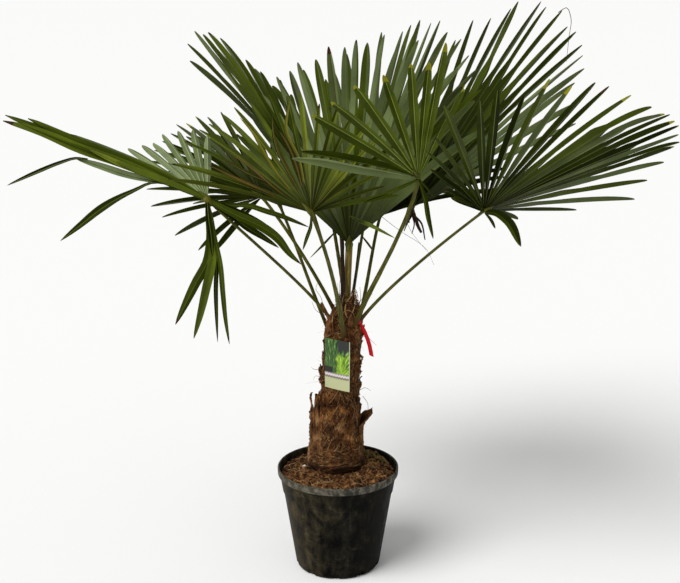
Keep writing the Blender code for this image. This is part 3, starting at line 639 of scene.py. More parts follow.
trunk = {
    "bottom": 0.2560, "top": 0.668, "buried": 0.244, "lean": (0.027, -0.018), "rows": 330, "sides": 260,
    "scarPitch": 0.034,                           # from one leaf scar to the next above it
    "scarHeights": (0.0046, 0.0012),              # above and below the sleeve's rim
    "waist": 0.0080, "waistTurn": -0.25,          # how far the foot is drawn in, and towards which side
    "lumps": 0.0026, "layers": 0.0012,
    "threads": ((19.0, 0.0012, 13, 32, 31), (19.0, 0.0009, 27, 70, 32),    # slope, depth, how fine round
                (-16.0, 0.0012, 13, 32, 47), (-16.0, 0.0009, 27, 70, 48)),     # and up, seed
    # (height, radius) of the whole trunk, and of the stem inside its sleeve
    "outline": [(0.244, 0.0540), (0.252, 0.0600), (0.260, 0.0640), (0.270, 0.0662), (0.280, 0.0655),
                (0.310, 0.0625), (0.350, 0.0615), (0.385, 0.0598), (0.418, 0.0570), (0.436, 0.0530),
                (0.448, 0.0470), (0.456, 0.0445), (0.500, 0.0440), (0.560, 0.0432), (0.600, 0.0428),
                (0.625, 0.0400), (0.645, 0.0350), (0.668, 0.0260)],
    "stem": [(0.244, 0.0500), (0.270, 0.0580), (0.385, 0.0520), (0.410, 0.0480), (0.430, 0.0452),
             (0.456, 0.0445), (0.500, 0.0440), (0.560, 0.0432), (0.600, 0.0428), (0.625, 0.0400),
             (0.645, 0.0350), (0.668, 0.0260)],
}
trunkHeights, trunkRadii = np.array(trunk["outline"]).T
stemHeights, stemRadii = np.array(trunk["stem"]).T


def trunkCentre(height):
    # the trunk leans a little more towards its top
    share = np.clip((height - trunk["bottom"]) / (trunk["top"] - trunk["bottom"]), 0, 1.3)
    bend = share ** 1.4
    return np.stack([trunkFoot[side] + trunk["lean"][side] * bend for side in (0, 1)], axis=-1)


def rightBell(angle, width):
    # 1 on the right side, under the hooked leaf base, and falling away round the trunk
    return np.exp(-((((angle - trunk["waistTurn"] + np.pi) % (2 * np.pi)) - np.pi) / width) ** 2)


def fibreRelief(height, angle):
    # old leaf scars in a spiral, lumps, and threads that cross two ways
    wobble = 0.35 * ringNoise(angle, height * 30, 2.0, 5)
    scar = (height / trunk["scarPitch"] + angle / np.pi + wobble) % 1.0
    scarHeight = np.where(height > 0.45, *trunk["scarHeights"]) * (scar ** 1.6 - 0.35)
    threads = 0.0
    for slope, depth, around, up, seed in trunk["threads"]:
        threads = threads + depth * ringNoise(angle + slope * height, height * up, around, seed)
    lumps = trunk["lumps"] * ringNoise(angle, height * 42, 4, 61, 3)
    # low down the old mats wrap round the foot in wavy layers
    wave = height + 0.006 * ringNoise(angle, height * 22, 2.5, 66)
    layers = ringNoise(angle, wave * 250, 4, 67) + 0.6 * ringNoise(angle, wave * 480, 9, 68)
    lumps = lumps + trunk["layers"] * layers * smoothStep((0.400 - height) / 0.06)
    calm = np.clip((trunk["top"] - height) / 0.01, 0.2, 1)
    # above the foot the sleeve is drawn in on the right
    lumps = lumps - trunk["waist"] * rightBell(angle, 0.80) * smoothStep(
        (height - 0.318) / 0.045) * smoothStep((0.452 - height) / 0.030)
    return (scarHeight + threads + lumps) * calm + np.interp(height, trunkHeights, trunkRadii) * (
        0.03 * np.sin(3 * angle + 14 * height) * np.sin(9 * height))


def pointAt(height, angle, radius):
    middle = trunkCentre(height)
    return np.stack([middle[..., 0] + radius * np.cos(angle), middle[..., 1] + radius * np.sin(angle),
                     height + 0 * radius], axis=-1)


def trunkPoint(height, angle, lift=0.0):
    radius = np.interp(height, trunkHeights, trunkRadii) + fibreRelief(height, angle) + lift
    return pointAt(height, angle, radius)


def makeStem():
    heights = np.linspace(trunk["buried"], trunk["top"], trunk["rows"])
    height, angle = np.meshgrid(heights, ringAngles(trunk["sides"]), indexing="ij")
    radius = np.interp(height, stemHeights, stemRadii) + fibreRelief(height, angle)
    ends = np.array([[*trunkCentre(np.array(trunk["buried"])), trunk["buried"]],
                     [*trunkCentre(np.array(trunk["top"])), trunk["top"] + 0.010]])
    makePiece("trunkFibreMat", np.vstack([pointAt(height, angle, radius).reshape(-1, 3), ends]),
              tubeFaces(trunk["rows"], trunk["sides"]), [trunkFelt], crease=70,
              replaced=("trunk",))


sleeve = {
    "bottom": 0.244, "rim": 0.434, "thickness": 0.0030, "rows": 204, "sides": 240,
    "tornBy": 0.010, "frayedBy": 0.006, "lowerRight": 0.036, "folds": 0.0022, "curl": 0.006,
    "outline": [(0.244, 0.0535), (0.252, 0.0600), (0.260, 0.0642), (0.270, 0.0664), (0.280, 0.0657),
                (0.310, 0.0628), (0.350, 0.0615), (0.385, 0.0598), (0.450, 0.0580)],
}


def sleeveRim(angle):
    # the torn upper edge: higher on the left, low where the hooked leaf base stands off on the right
    torn = sleeve["tornBy"] * ringNoise(angle, 0 * angle, 3.2, 81, 2)
    torn = torn + sleeve["frayedBy"] * np.abs(ringNoise(angle, 0 * angle, 11, 83))
    return sleeve["rim"] + torn - 0.006 * np.cos(angle) - sleeve["lowerRight"] * rightBell(angle, 0.62)


def makeSleeve():
    # the rows lie closer near the torn rim, where the edge curls
    shares = np.concatenate([np.linspace(0, 0.9, sleeve["rows"] - 40), np.linspace(0.9, 1, 41)[1:]])
    share, angle = np.meshgrid(shares, ringAngles(sleeve["sides"]), indexing="ij")
    height = sleeve["bottom"] + (sleeveRim(angle) - sleeve["bottom"]) * share
    base = np.interp(height, *np.array(sleeve["outline"]).T)
    folds = sleeve["folds"] * ringNoise(angle, height * 9, 5, 91)
    curl = sleeve["curl"] * ringNoise(angle, 0 * angle, 6, 95) * smoothStep((share - 0.86) / 0.14)
    outer = base + fibreRelief(height, angle) + folds + curl
    inner = outer - sleeve["thickness"] * (1 - 0.6 * share)
    points = np.concatenate([pointAt(height, angle, outer), pointAt(height, angle, inner)[::-1]])
    makePiece("trunkSleeveTorn", points, gridFaces(len(points), sleeve["sides"], True, True), [trunkFelt],
              crease=70)


threads = {
    # name: how many, lowest and highest start, rise, turn round the trunk in radians, seed
    "sleeveThreads": (3400, 0.257, 0.418, 0.045, 0.45, 11),
    "stemThreads": (1500, 0.445, 0.645, 0.045, 0.50, 12),
}
looseHairs = {"count": 170, "seed": 17, "stem": (0.44, 0.665), "sleeve": (0.27, 0.44), "onStem": 0.75}


def makeThreads(name, count, low, high, steep, reach, seed):
    # threads laid on the trunk: each runs round it and up by its own amount, flatter near the soil
    draw = np.random.default_rng(seed)
    share = np.linspace(0, 1, 7)
    start = draw.uniform(low, high, count)
    flat = np.clip((0.335 - start) / 0.06, 0, 1)
    rise = steep * draw.uniform(0.3, 1.2, count) * draw.choice([-1, 1], count) * (1 - 0.85 * flat)
    around = reach * draw.uniform(0.4, 1.3, count) * draw.choice([-1, 1], count) * (1 + 1.1 * flat)
    angle = draw.uniform(0, 2 * np.pi, count)
    bow = draw.normal(0, 0.007, count)
    height = start[:, None] + rise[:, None] * share + bow[:, None] * np.sin(np.pi * share)
    height = np.clip(height, 0.254, high + 0.012)
    turn = angle[:, None] + around[:, None] * share
    lift = 0.0003 + 0.0030 * draw.random((count, 1)) ** 3 * np.sin(np.pi * share)
    paths = trunkPoint(height, turn, lift)
    radii = np.outer(draw.uniform(0.0004, 0.0010, count), np.interp(share, [0, 0.2, 1], [0.6, 1, 0.3]))
    tones = draw.choice(3, count, p=(0.34, 0.40, 0.26))
    # threads that start lowest, near the soil, take the dark finish: painted shade at the trunk's foot
    makeThreadPiece(name, paths, radii, np.where(start < 0.272, 0, tones))


def makeLooseHairs():
    # loose hairs stand off the trunk, most of them on its upper stem and crown
    draw = np.random.default_rng(looseHairs["seed"])
    count = looseHairs["count"]
    height = np.where(draw.random(count) < looseHairs["onStem"], draw.uniform(*looseHairs["stem"], count),
                      draw.uniform(*looseHairs["sleeve"], count))
    angle = draw.uniform(0, 2 * np.pi, count)
    outward = unit(np.column_stack([np.cos(angle), np.sin(angle), draw.normal(0.2, 0.6, count)]))
    side = unit(np.column_stack([-np.sin(angle), np.cos(angle), draw.normal(0, 0.5, count)]))
    length = 0.006 + 0.020 * draw.random(count) ** 2.0
    curl = draw.normal(0, 1.1, count)
    share = np.linspace(0, 1, 8)
    paths = (trunkPoint(height, angle, -0.001)[:, None, :]
             + outward[:, None, :] * (length[:, None] * share)[:, :, None]
             + side[:, None, :] * (curl[:, None] * length[:, None] * share ** 2)[:, :, None]
             - upward * (0.5 * length[:, None] * share ** 2)[:, :, None])
    radii = np.outer(draw.uniform(0.00025, 0.0005, count), 1 - 0.75 * share)
    makeThreadPiece("trunkLooseHairs", paths, radii, draw.choice(3, count, p=(0.45, 0.35, 0.20)))


makeStem()
makeSleeve()
for name, sizes in threads.items():
    makeThreads(name, *sizes)
makeLooseHairs()
print("trunk made")


# old leaf bases and torn sheaths: strips that hug the trunk and end in a point that stands off

strips = {
    # name: angle, slant, low, high, width (degrees), thickness, stand-off of the tip, bulge, replaced node
    "leafBaseRight": (4, 2, 0.268, 0.404, 84, 0.0040, 0.034, 0.003, "boot_right"),
    "leafBaseLeft": (190, -4, 0.266, 0.414, 30, 0.0040, 0.009, 0.001, "boot_left"),
    "leafBaseFront": (-96, 26, 0.325, 0.424, 26, 0.0045, 0.006, 0.003, "boot_front"),
    "leafBaseFrontLeft": (-136, -8, 0.300, 0.446, 34, 0.0050, 0.009, 0.002, "boot_front_left"),
    "leafBaseBack": (60, 6, 0.262, 0.440, 60, 0.0060, 0.010, 0.004, "boot_back"),
    "leafBaseBackLeft": (120, -6, 0.275, 0.450, 44, 0.0050, 0.008, 0.003, "boot_back_left"),
    "sheathSpikeLeft": (194, -6, 0.368, 0.450, 24, 0.0035, 0.020, 0.003, None),
    "sheathFlapLeft": (222, 12, 0.350, 0.448, 26, 0.0030, 0.007, 0.002, None),
    "sheathFlapFront": (-66, 10, 0.340, 0.430, 24, 0.0030, 0.005, 0.002, None),
    "sheathFlapRight": (18, 8, 0.320, 0.408, 26, 0.0035, 0.006, 0.003, None),
    "sheathFlapRear": (90, -10, 0.345, 0.452, 30, 0.0035, 0.009, 0.002, None),
    "sheathStubHigh": (4, 6, 0.440, 0.486, 26, 0.0040, 0.009, 0.003, None),
    "sheathStubMiddle": (-10, -6, 0.500, 0.548, 30, 0.0040, 0.007, 0.003, None),
    "sheathStubLeft": (170, 8, 0.470, 0.520, 34, 0.0040, 0.006, 0.003, None),
    "sheathStubRear": (80, 8, 0.520, 0.580, 44, 0.0040, 0.007, 0.003, None),
    "sheathStubUpper": (20, -8, 0.570, 0.620, 34, 0.0040, 0.007, 0.003, None),
    "sheathCrownFront": (-78, 6, 0.575, 0.690, 34, 0.0028, 0.0010, 0.0020, None),
    "sheathCrownLeft": (200, -6, 0.590, 0.676, 36, 0.0028, 0.0025, 0.0015, None),
    "sheathCrownRight": (-28, 8, 0.585, 0.682, 34, 0.0028, 0.0022, 0.0015, None),
    "sheathCrownRear": (70, 6, 0.585, 0.690, 50, 0.0028, 0.0015, 0.0015, None),
    "sheathCrownBack": (130, -6, 0.580, 0.684, 44, 0.0028, 0.0020, 0.0015, None),
    "sheathCrownEast": (28, 6, 0.580, 0.680, 36, 0.0028, 0.0020, 0.0015, None),
}


stripSurface = {"rows": 60, "columns": 28, "ridge": 0.0014, "fineRidge": 0.0009, "edgeCurl": 0.0022,
                "sunk": 0.0006, "thinnest": 0.0007, "trunkTop": 0.664}


def stripSkins(angle, slant, low, high, width, thickness, standOff, bulge, seed):
    # two skins of a strip on the trunk: its width falls to a torn point, ridges run along it
    share = np.linspace(0, 1, stripSurface["rows"])[:, None]
    across = np.linspace(-1, 1, stripSurface["columns"])[None, :]
    # a strip that stands far off keeps its width to form a scoop with a beak, and its near edge is lower
    scoop = float(smoothStep((standOff - 0.020) / 0.006))
    torn = 1 - 0.10 * np.abs(smoothNoise(across * 5.0 + 9, share * 0, across * 0, seed)) + 0 * share
    dip = 0.15 * scoop * (np.abs(across) - 0.5 * across) * share
    height = low + (high - low) * share * torn * (1 - dip)
    taper = (1 - share) ** (0.7 - 0.38 * scoop) * 0.94 + 0.06
    taper = taper + 0.07 * smoothNoise(share * 9, share * 0, share * 0, seed + 4)
    turn = np.radians(angle + slant * share + width / 2 * across * taper)
    ridge = stripSurface["ridge"] * smoothNoise(across * 7.5, share * 2.2, share * 0, seed + 2)
    ridge = ridge + stripSurface["fineRidge"] * smoothNoise(across * 17, share * 5, share * 0, seed + 3)
    off = standOff * share ** (2.4 + 1.5 * scoop) * (1 - 0.80 * scoop * across ** 2)
    off = off + bulge * np.sin(np.pi * share) ** 0.7 * (1 - across ** 2)
    off = off + stripSurface["edgeCurl"] * np.abs(across) ** 3 * share
    body = np.maximum(thickness * (1 - 0.70 * share) * (1 - 0.75 * across ** 2) + ridge,
                      stripSurface["thinnest"])
    # past the trunk's top the strip goes straight up
    onTrunk = np.minimum(height, stripSurface["trunkTop"])
    skins = [trunkPoint(onTrunk, turn, off - stripSurface["sunk"]), trunkPoint(onTrunk, turn, off + body)]
    for skin in skins:
        skin[..., 2] += height - onTrunk
    return skins


def skinsToPiece(name, inner, outer, finish, replaced=(), crease=50, uv=None):
    # joins two matching grids into one closed shell
    rows, columns = inner.shape[:2]
    size = rows * columns
    points = np.concatenate([inner.reshape(-1, 3), outer.reshape(-1, 3)])
    grid = gridFaces(rows, columns)
    rim = np.concatenate([np.arange(columns), np.arange(1, rows) * columns + columns - 1,
                          (rows - 1) * columns + np.arange(columns - 2, -1, -1),
                          np.arange(rows - 2, 0, -1) * columns])
    following = np.roll(rim, -1)
    walls = np.stack([rim, following, following + size, rim + size], axis=-1)
    makePiece(name, points, np.concatenate([grid[:, ::-1], grid + size, walls]), [finish], uv=uv,
              crease=crease, replaced=replaced)


for seed, (name, (*sizes, node)) in enumerate(strips.items()):
    inner, outer = stripSkins(*sizes, seed=seed + 70)
    skinsToPiece(name, inner, outer, leafBaseBark if name.startswith("leafBase") else sheathFelt,
                 (node,) if node else ())
print("leaf bases made")


# fronds: the rule is the same for every one, with the sizes below. Angles in degrees. Turns are the
# leaflets' angles in the blade, and spread is where the fan ends. Reach holds those that are longer or
# shorter than the rule gives, and web is how far along a leaflet is joined to its neighbours, at some of
# those angles. Sag, cup and fall bend the leaflets down, lift the fan's sides and shorten its outer
# leaflets. Half is half a leaflet's width. Tones and under are the finishes of the two faces, halves
# sets those of the two halves, a lighter and a darker one that paint a lit and a shaded side of the
# fold, and pale names leaflets that show a grey face, partly their own bloom and partly a painted
# highlight. Tips and dry are the shares with a yellow tip and with a dry rib

fronds = {
    "right": dict(
        hub=(0.335, -0.080, 0.918), foot=(-20, 0.645), footSize=0.0052, point=-11, rise=26, roll=33,
        length=0.463, sag=0.03, cup=0.15, fall=0.48, spread=(-84, 74),
        turns=(-81, -71, -66, -58, -51, -45, -39, -34, -28, -18, -14, -10, -6, -2, 3, 8, 14, 23, 36, 49,
               60, 72), reach={-81: 1.22, -71: 1.12, -66: 1.08, 49: 1.15, 60: 0.86, 72: 0.42},
        web=((-81, 0.14), (-45, 0.20), (-28, 0.34), (-18, 0.66), (8, 0.66), (36, 0.45), (72, 0.2)),
        half=0.0104, tones=("deep", "shade", "mid"), blunt=0.35, tips=0.4, pale=(-45, -14, 3, 23, 49)),
    "back_right": dict(
        hub=(0.193, 0.260, 0.863), foot=(22, 0.660), footSize=0.0052, point=48, rise=53, roll=19,
        length=0.618, sag=0.02, cup=0.05, fall=0.29, spread=(-76, 32),
        turns=(-63, -59, -54, -49, -44, -39, -33, -26, -20, -15, -7, -2, 4, 10, 19),
        web=((-76, 0.40), (-20, 0.62), (10, 0.55), (32, 0.40)), half=0.0115,
        tones=("deep", "mid", "deep"), under=("deep", "mid", "grey"), blunt=0.1,
        pale=(-70, -63, -59, -54, -49)),
    "back_left": dict(
        hub=(-0.097, 0.250, 0.955), foot=(118, 0.664), footSize=0.0052, point=174, rise=57, roll=10,
        length=0.432, sag=0.11, cup=0.11, fall=1.90, spread=(-68, 22),
        turns=(-35, -28, -21, -14, -9, -4, 3, 14), reach={-35: 0.83, -28: 0.84, -21: 0.83},
        web=((-68, 0.4), (-10, 0.55), (22, 0.4)), half=0.0140, tones=("mid", "fresh", "grey"),
        under=("mid", "grey", "sage"), blunt=0.3),
    "left_front": dict(
        hub=(-0.058, -0.200, 0.935), foot=(-92, 0.612), footSize=0.0066, point=148, rise=38, roll=32,
        length=0.333, sag=0.11, cup=0.10, fall=0.40, spread=(-110, 34),
        turns=(-110, -101, -92, -83, -75, -67, -59, -52, -45, -37, -32, -26, -19, -12, -7, -1, 5, 13, 24),
        reach={-26: 1.05, -101: 0.8}, web=((-110, 0.25), (-75, 0.48), (-40, 0.45), (0, 0.28), (24, 0.24)),
        half=0.0068, tones=("fresh", "mid", "bright"),
        under=("mid", "fresh", "bright"), blunt=0.3, dry=0.45),
    "left_back": dict(
        hub=(-0.187, 0.140, 0.910), foot=(142, 0.655), footSize=0.0050, point=173, rise=29, roll=35,
        length=0.290, sag=0.09, cup=0.09, fall=0.34, spread=(-44, 84),
        turns=(-42, -35, -28, -23, -17, -12, -5, 1, 10, 19, 29, 39, 47, 59, 74),
        web=((-44, 0.30), (0, 0.34), (40, 0.30), (84, 0.25)), half=0.0085,
        tones=("mid", "deep", "grey"), under=("grey", "mid", "sage"), blunt=0.1),
    "centre": dict(
        hub=(0.026, -0.020, 0.824), foot=None, footSize=0.0096, tipSize=0.0096, aged=True, point=67,
        rise=73, roll=17, length=0.505, sag=0.10, cup=0.11, fall=0.45, spread=(-50, 54),
        turns=(-14, -8, -3, 1, 5, 9, 13, 18, 23), reach={1: 0.95, 9: 0.97},
        web=((-50, 0.5), (0, 0.58), (54, 0.5)), half=0.0130, tones=("grey", "sage", "mid"), blunt=0.2),
    "middle_back": dict(
        hub=(0.067, 0.140, 0.865), foot=(74, 0.650), footSize=0.0052, point=65, rise=66, roll=31,
        length=0.503, sag=0.10, cup=0.11, fall=0.29, spread=(-56, 40),
        turns=(-25, -20, -15, -11, -7, -4, 0), web=((-56, 0.5), (0, 0.58), (40, 0.5)), half=0.0125,
        tones=("grey", "sage", "mid"), blunt=0.1),
    "upper_back": dict(
        hub=(0.005, 0.200, 0.820), foot=(98, 0.655), footSize=0.0052, point=119, rise=48, roll=-12,
        length=0.528, sag=0.10, cup=0.23, fall=0.29, spread=(-70, 12), turns=(-16, -10, -4, 2, 8),
        reach={-10: 1.05, 2: 0.92}, web=((-70, 0.5), (12, 0.55)), half=0.0130,
        tones=("grey", "sage", "mid"), blunt=0.2),
    "right_front": dict(
        hub=(0.176, -0.200, 1.012), foot=(-55, 0.640), footSize=0.0062, point=-133, rise=46, roll=137,
        length=0.300, sag=0.03, cup=0.0, fall=0.40, spread=(-46, 24),
        turns=(-46, -35, -30, -23, -12, -1, 9, 20), reach={-35: 1.18, -30: 1.05, -46: 0.9},
        web=((-46, 0.16), (24, 0.16)), half=0.0120, tones=("mid", "deep", "mid"),
        under=("mid", "fresh", "mid"), blunt=0.6, tips=1.0, ribUpper="edge", ribUnder="edge",
        # halves paints every leaflet's left half lighter and its right half darker, as the lit and shaded
        # sides of the fold
        halves=("fresh", "mid"), hubShade=False),
    "broken": dict(
        hub=(-0.296, -0.100, 0.947), foot=(-166, 0.645), footSize=0.0046, point=133, rise=24, roll=-160,
        length=0.281, sag=0.02, cup=0.01, fall=0.63, spread=(-12, 40), turns=(-8, -1, 6, 12, 20, 27, 34),
        reach={-1: 0.95, 6: 0.97, 34: 0.92}, web=((-12, 0.42), (40, 0.46)), half=0.0095,
        tones=("deep", "mid", "deep"), under=("pale", "sage", "pale"), knuckled=True, blunt=0.5,
        ribUnder="ribPale", hubShade=False),
    "rear": dict(
        hub=(-0.020, 0.300, 0.860), foot=(84, 0.612), footSize=0.0050, point=95, rise=22, roll=0,
        length=0.420, sag=0.18, cup=0.12, fall=0.30, spread=(-80, 80), turns=(-6, 0, 7),
        web=((-80, 0.3), (0, 0.5), (80, 0.3)), half=0.0110, tones=("mid", "fresh", "deep"),
        under=("sage", "grey", "mid"), blunt=0.3),
    "rear_right": dict(
        hub=(0.110, 0.310, 0.830), foot=(45, 0.620), footSize=0.0050, point=66, rise=34, roll=8,
        length=0.380, sag=0.14, cup=0.12, fall=0.30, spread=(-70, 70), turns=(-7, 0, 6),
        web=((-70, 0.3), (0, 0.5), (70, 0.3)), half=0.0105, tones=("deep", "mid", "shade"),
        under=("grey", "sage", "mid"), blunt=0.3),
    "rear_left": dict(
        hub=(-0.150, 0.270, 0.865), foot=(160, 0.618), footSize=0.0050, point=122, rise=34, roll=-8,
        length=0.330, sag=0.12, cup=0.12, fall=0.30, spread=(-70, 66), turns=(-7, 0, 7),
        web=((-70, 0.3), (0, 0.5), (66, 0.3)), half=0.0100, tones=("mid", "fresh", "deep"),
        under=("sage", "grey", "mid"), blunt=0.3),
}
blade = {
    "step": 6.8,            # degrees between leaflets where none is named
    "joint": 5.2,           # the widest half angle that two joined leaflets bridge
    "thickness": 0.0009,
    "hubRadius": 0.0045,    # the ring where the leaflets meet
    "knuckleRadius": 0.0100,    # the same, round the broken frond's knuckle
    "joinedRows": 6,        # rows of faces up to the end of the web, and places of those beyond it
    "freeShares": (0.06, 0.14, 0.24, 0.36, 0.48, 0.60, 0.71, 0.80, 0.87, 0.925, 0.965, 0.988, 1.0),
    "ribWidth": 0.0015,
    "openFold": 0.72,       # depth of a free leaflet's valley, of half its width
    "openWidth": 0.86,      # width of a folded free leaflet, of its flat width
    "widthSpread": 0.06,    # how much one leaflet differs from the next in width, and of its length,
    "swing": 0.006, "lift": 0.014, "droop": 0.012,    # how far its tip may sway each way
    "twist": 0.28,          # and turn, in radians
    "crease": 24,           # degrees past which an edge stays sharp
    # beyondShade: metres added along a leaflet so that it is spared the painted hub shade
    "beyondShade": 0.3,     # metres added along a leaflet that keeps its own colour at the hub
}


def bladeAxes(sizes):
    # unit vectors along the blade, across it to its left, and out of its upper face
    point, rise, roll = (math.radians(sizes[key]) for key in ("point", "rise", "roll"))
    along = np.array([math.cos(rise) * math.cos(point), math.cos(rise) * math.sin(point), math.sin(rise)])
    across = unit(np.cross(upward, along))
    out = np.cross(along, across)
    out = out * math.cos(roll) + across * math.sin(roll)
    return along, np.cross(out, along), out


def leafletLines(sizes, turns, shares, stretch=1.0, steps=24):
    # each leaflet leaves the hub straight, turns down with its own weight, and is read at its shares
    along, across, out = bladeAxes(sizes)
    start = unit(np.cos(turns)[:, None] * along + np.sin(turns)[:, None] * across
                 + sizes["cup"] * np.abs(np.sin(turns))[:, None] * out)
    reach = sizes["length"] * (1 - sizes["fall"] * (turns / 2) ** 2)
    time = (np.arange(steps) + 0.5) / steps
    ways = unit(start[:, None, :] - (2 * sizes["sag"] * time)[None, :, None] * upward)
    line = np.concatenate([np.zeros((len(turns), 1, 3)), np.cumsum(ways, axis=1) / steps], axis=1)
    place = np.clip(shares * steps, 0, steps - 1e-6)
    whole = place.astype(int)
    part = (place - whole)[..., None]
    row = np.arange(len(turns))[:, None]
    spots = line[row, whole] * (1 - part) + line[row, whole + 1] * part
    return np.array(sizes["hub"]) + spots * (reach * stretch)[:, None, None], reach * stretch


def leafletTurns(sizes):
    # the named leaflets, and evenly spaced ones from them to both ends of the fan
    named = list(sizes["turns"])
    first, last = sizes["spread"]
    before = np.arange(named[0] - blade["step"], first, -blade["step"])[::-1]
    after = np.arange(named[-1] + blade["step"], last, blade["step"])
    return np.concatenate([before, named, after])


def tipProfile(freed, blunt):
    # width that is left towards the tip: from a long point to a blunt rounded end
    pointed = np.interp(freed, [0, 0.55, 0.72, 0.84, 0.93, 0.98, 1], [1, 1, 0.87, 0.66, 0.40, 0.20, 0.05])
    rounded = np.interp(freed, [0, 0.80, 0.92, 0.97, 0.99, 1], [1, 1, 0.86, 0.62, 0.42, 0.20])
    return pointed * (1 - blunt) + rounded * blunt


def leafStrips(centre, side, halfWidth, fold, tones, tipRows, metres):
    # folded leaflets as closed thin strips: a left half, a narrow midrib and a right half, two skins
    count, rows, _ = centre.shape
    along = unit(np.gradient(centre, axis=1))
    side = unit(side - along * np.sum(side * along, axis=-1, keepdims=True))
    normal = np.cross(along, side)
    ribHalf = np.minimum(blade["ribWidth"] / 2, 0.25 * halfWidth)
    across = np.stack([-halfWidth, -ribHalf, ribHalf, halfWidth], axis=-1)
    lift = np.stack([fold / 2, -fold / 2, -fold / 2, fold / 2], axis=-1)
    skin = (centre[:, :, None, :] + side[:, :, None, :] * across[..., None]
            + normal[:, :, None, :] * lift[..., None])
    half = normal[:, :, None, :] * blade["thickness"] / 2
    points = np.stack([skin + half, skin - half], axis=2)
    index = np.arange(count * rows * 8).reshape(count, rows, 2, 4)

    def quad(a, b, c, d):
        return np.stack([a, b, c, d], axis=-1).reshape(count, -1, 4)

    low, high = index[:, :-1], index[:, 1:]
    top = quad(low[:, :, 0, :3], high[:, :, 0, :3], high[:, :, 0, 1:], low[:, :, 0, 1:])
    bottom = quad(low[:, :, 1, :3], low[:, :, 1, 1:], high[:, :, 1, 1:], high[:, :, 1, :3])
    right = quad(low[:, :, 0, 3], high[:, :, 0, 3], high[:, :, 1, 3], low[:, :, 1, 3])
    left = quad(low[:, :, 0, 0], low[:, :, 1, 0], high[:, :, 1, 0], high[:, :, 0, 0])
    first = quad(index[:, 0, 0, :3], index[:, 0, 0, 1:], index[:, 0, 1, 1:], index[:, 0, 1, :3])
    last = quad(index[:, -1, 0, :3], index[:, -1, 1, :3], index[:, -1, 1, 1:], index[:, -1, 0, 1:])
    faces = np.concatenate([top, bottom, right, left, first, last], axis=1).reshape(-1, 4)
    isTip = np.arange(rows - 1)[None, :] >= tipRows[:, None]

    def spread(name):
        return np.where(isTip, tones["tip"][:, None], tones[name][:, None])

    topPick = np.stack([spread("leftHalf"), spread("rib"), spread("rightHalf")], axis=-1)
    bottomPick = np.stack([spread("underLeft"), spread("underRib"), spread("underRight")], axis=-1)
    ends = np.repeat(tones["rib"][:, None], 3, axis=1)
    picks = np.concatenate([topPick.reshape(count, -1), bottomPick.reshape(count, -1), spread("rightHalf"),
                            spread("leftHalf"), ends, np.repeat(tones["tip"][:, None], 3, axis=1)], axis=1)
    uv = np.empty((count, rows, 2, 4, 2))
    uv[..., 0] = np.array([0.0, 0.46, 0.54, 1.0])
    uv[..., 1] = metres[:, :, None, None] + np.arange(count)[:, None, None, None]
    return points.reshape(-1, 3), faces, picks.ravel(), uv.reshape(-1, 2)


def pickTones(draw, sizes, turns, rows):
    # a finish for each half of both faces and the ribs, and the row where a yellow or brown tip starts
    faces = {}
    count = len(turns)
    isPale = np.isin(np.round(np.degrees(turns)), sizes.get("pale", ()))
    for face, choice in (("", "tones"), ("under", "under")):
        tones = np.array([toneIndex[tone] for tone in sizes.get(choice, sizes["tones"])])
        left = tones[draw.choice(3, count, p=(0.5, 0.25, 0.25))]
        right = np.where(draw.random(count) < 0.5, left, tones[draw.choice(3, count, p=(0.4, 0.3, 0.3))])
        # halves paints a lit half and a shaded half: the same lighter and darker greens on every leaflet
        if "halves" in sizes:
            left, right = (np.full(count, toneIndex[tone]) for tone in sizes["halves"])
        # pale leaflets take the grey and sage finishes on both faces: partly the underside's own bloom,
        # partly a painted highlight for leaflets that catch the light
        left = np.where(isPale, toneIndex["grey"], left)
        right = np.where(isPale, toneIndex["sage"], right)
        faces[face + ("Left" if face else "leftHalf")] = left
        faces[face + ("Right" if face else "rightHalf")] = right
    dry = draw.random(count) < sizes.get("dry", 0.02)
    faces["rib"] = np.where(dry, toneIndex["dry"], toneIndex[sizes.get("ribUpper", "rib")])
    faces["underRib"] = np.full(count, toneIndex[sizes.get("ribUnder", "rib")])
    isYellow = draw.random(count) < sizes.get("tips", 0.05)
    isBrown = (draw.random(count) < 0.08) | dry
    faces["tip"] = np.where(isYellow, toneIndex["tip"],
                            np.where(isBrown, toneIndex["dry"], faces["leftHalf"]))
    tipRows = np.where(isYellow, rows - 4 + draw.integers(0, 2, count),
                       np.where(isBrown, rows - 4 + draw.integers(0, 3, count), rows))
    return faces, tipRows


def pieceName(kind, node):
    return kind + node.title().replace("_", "")


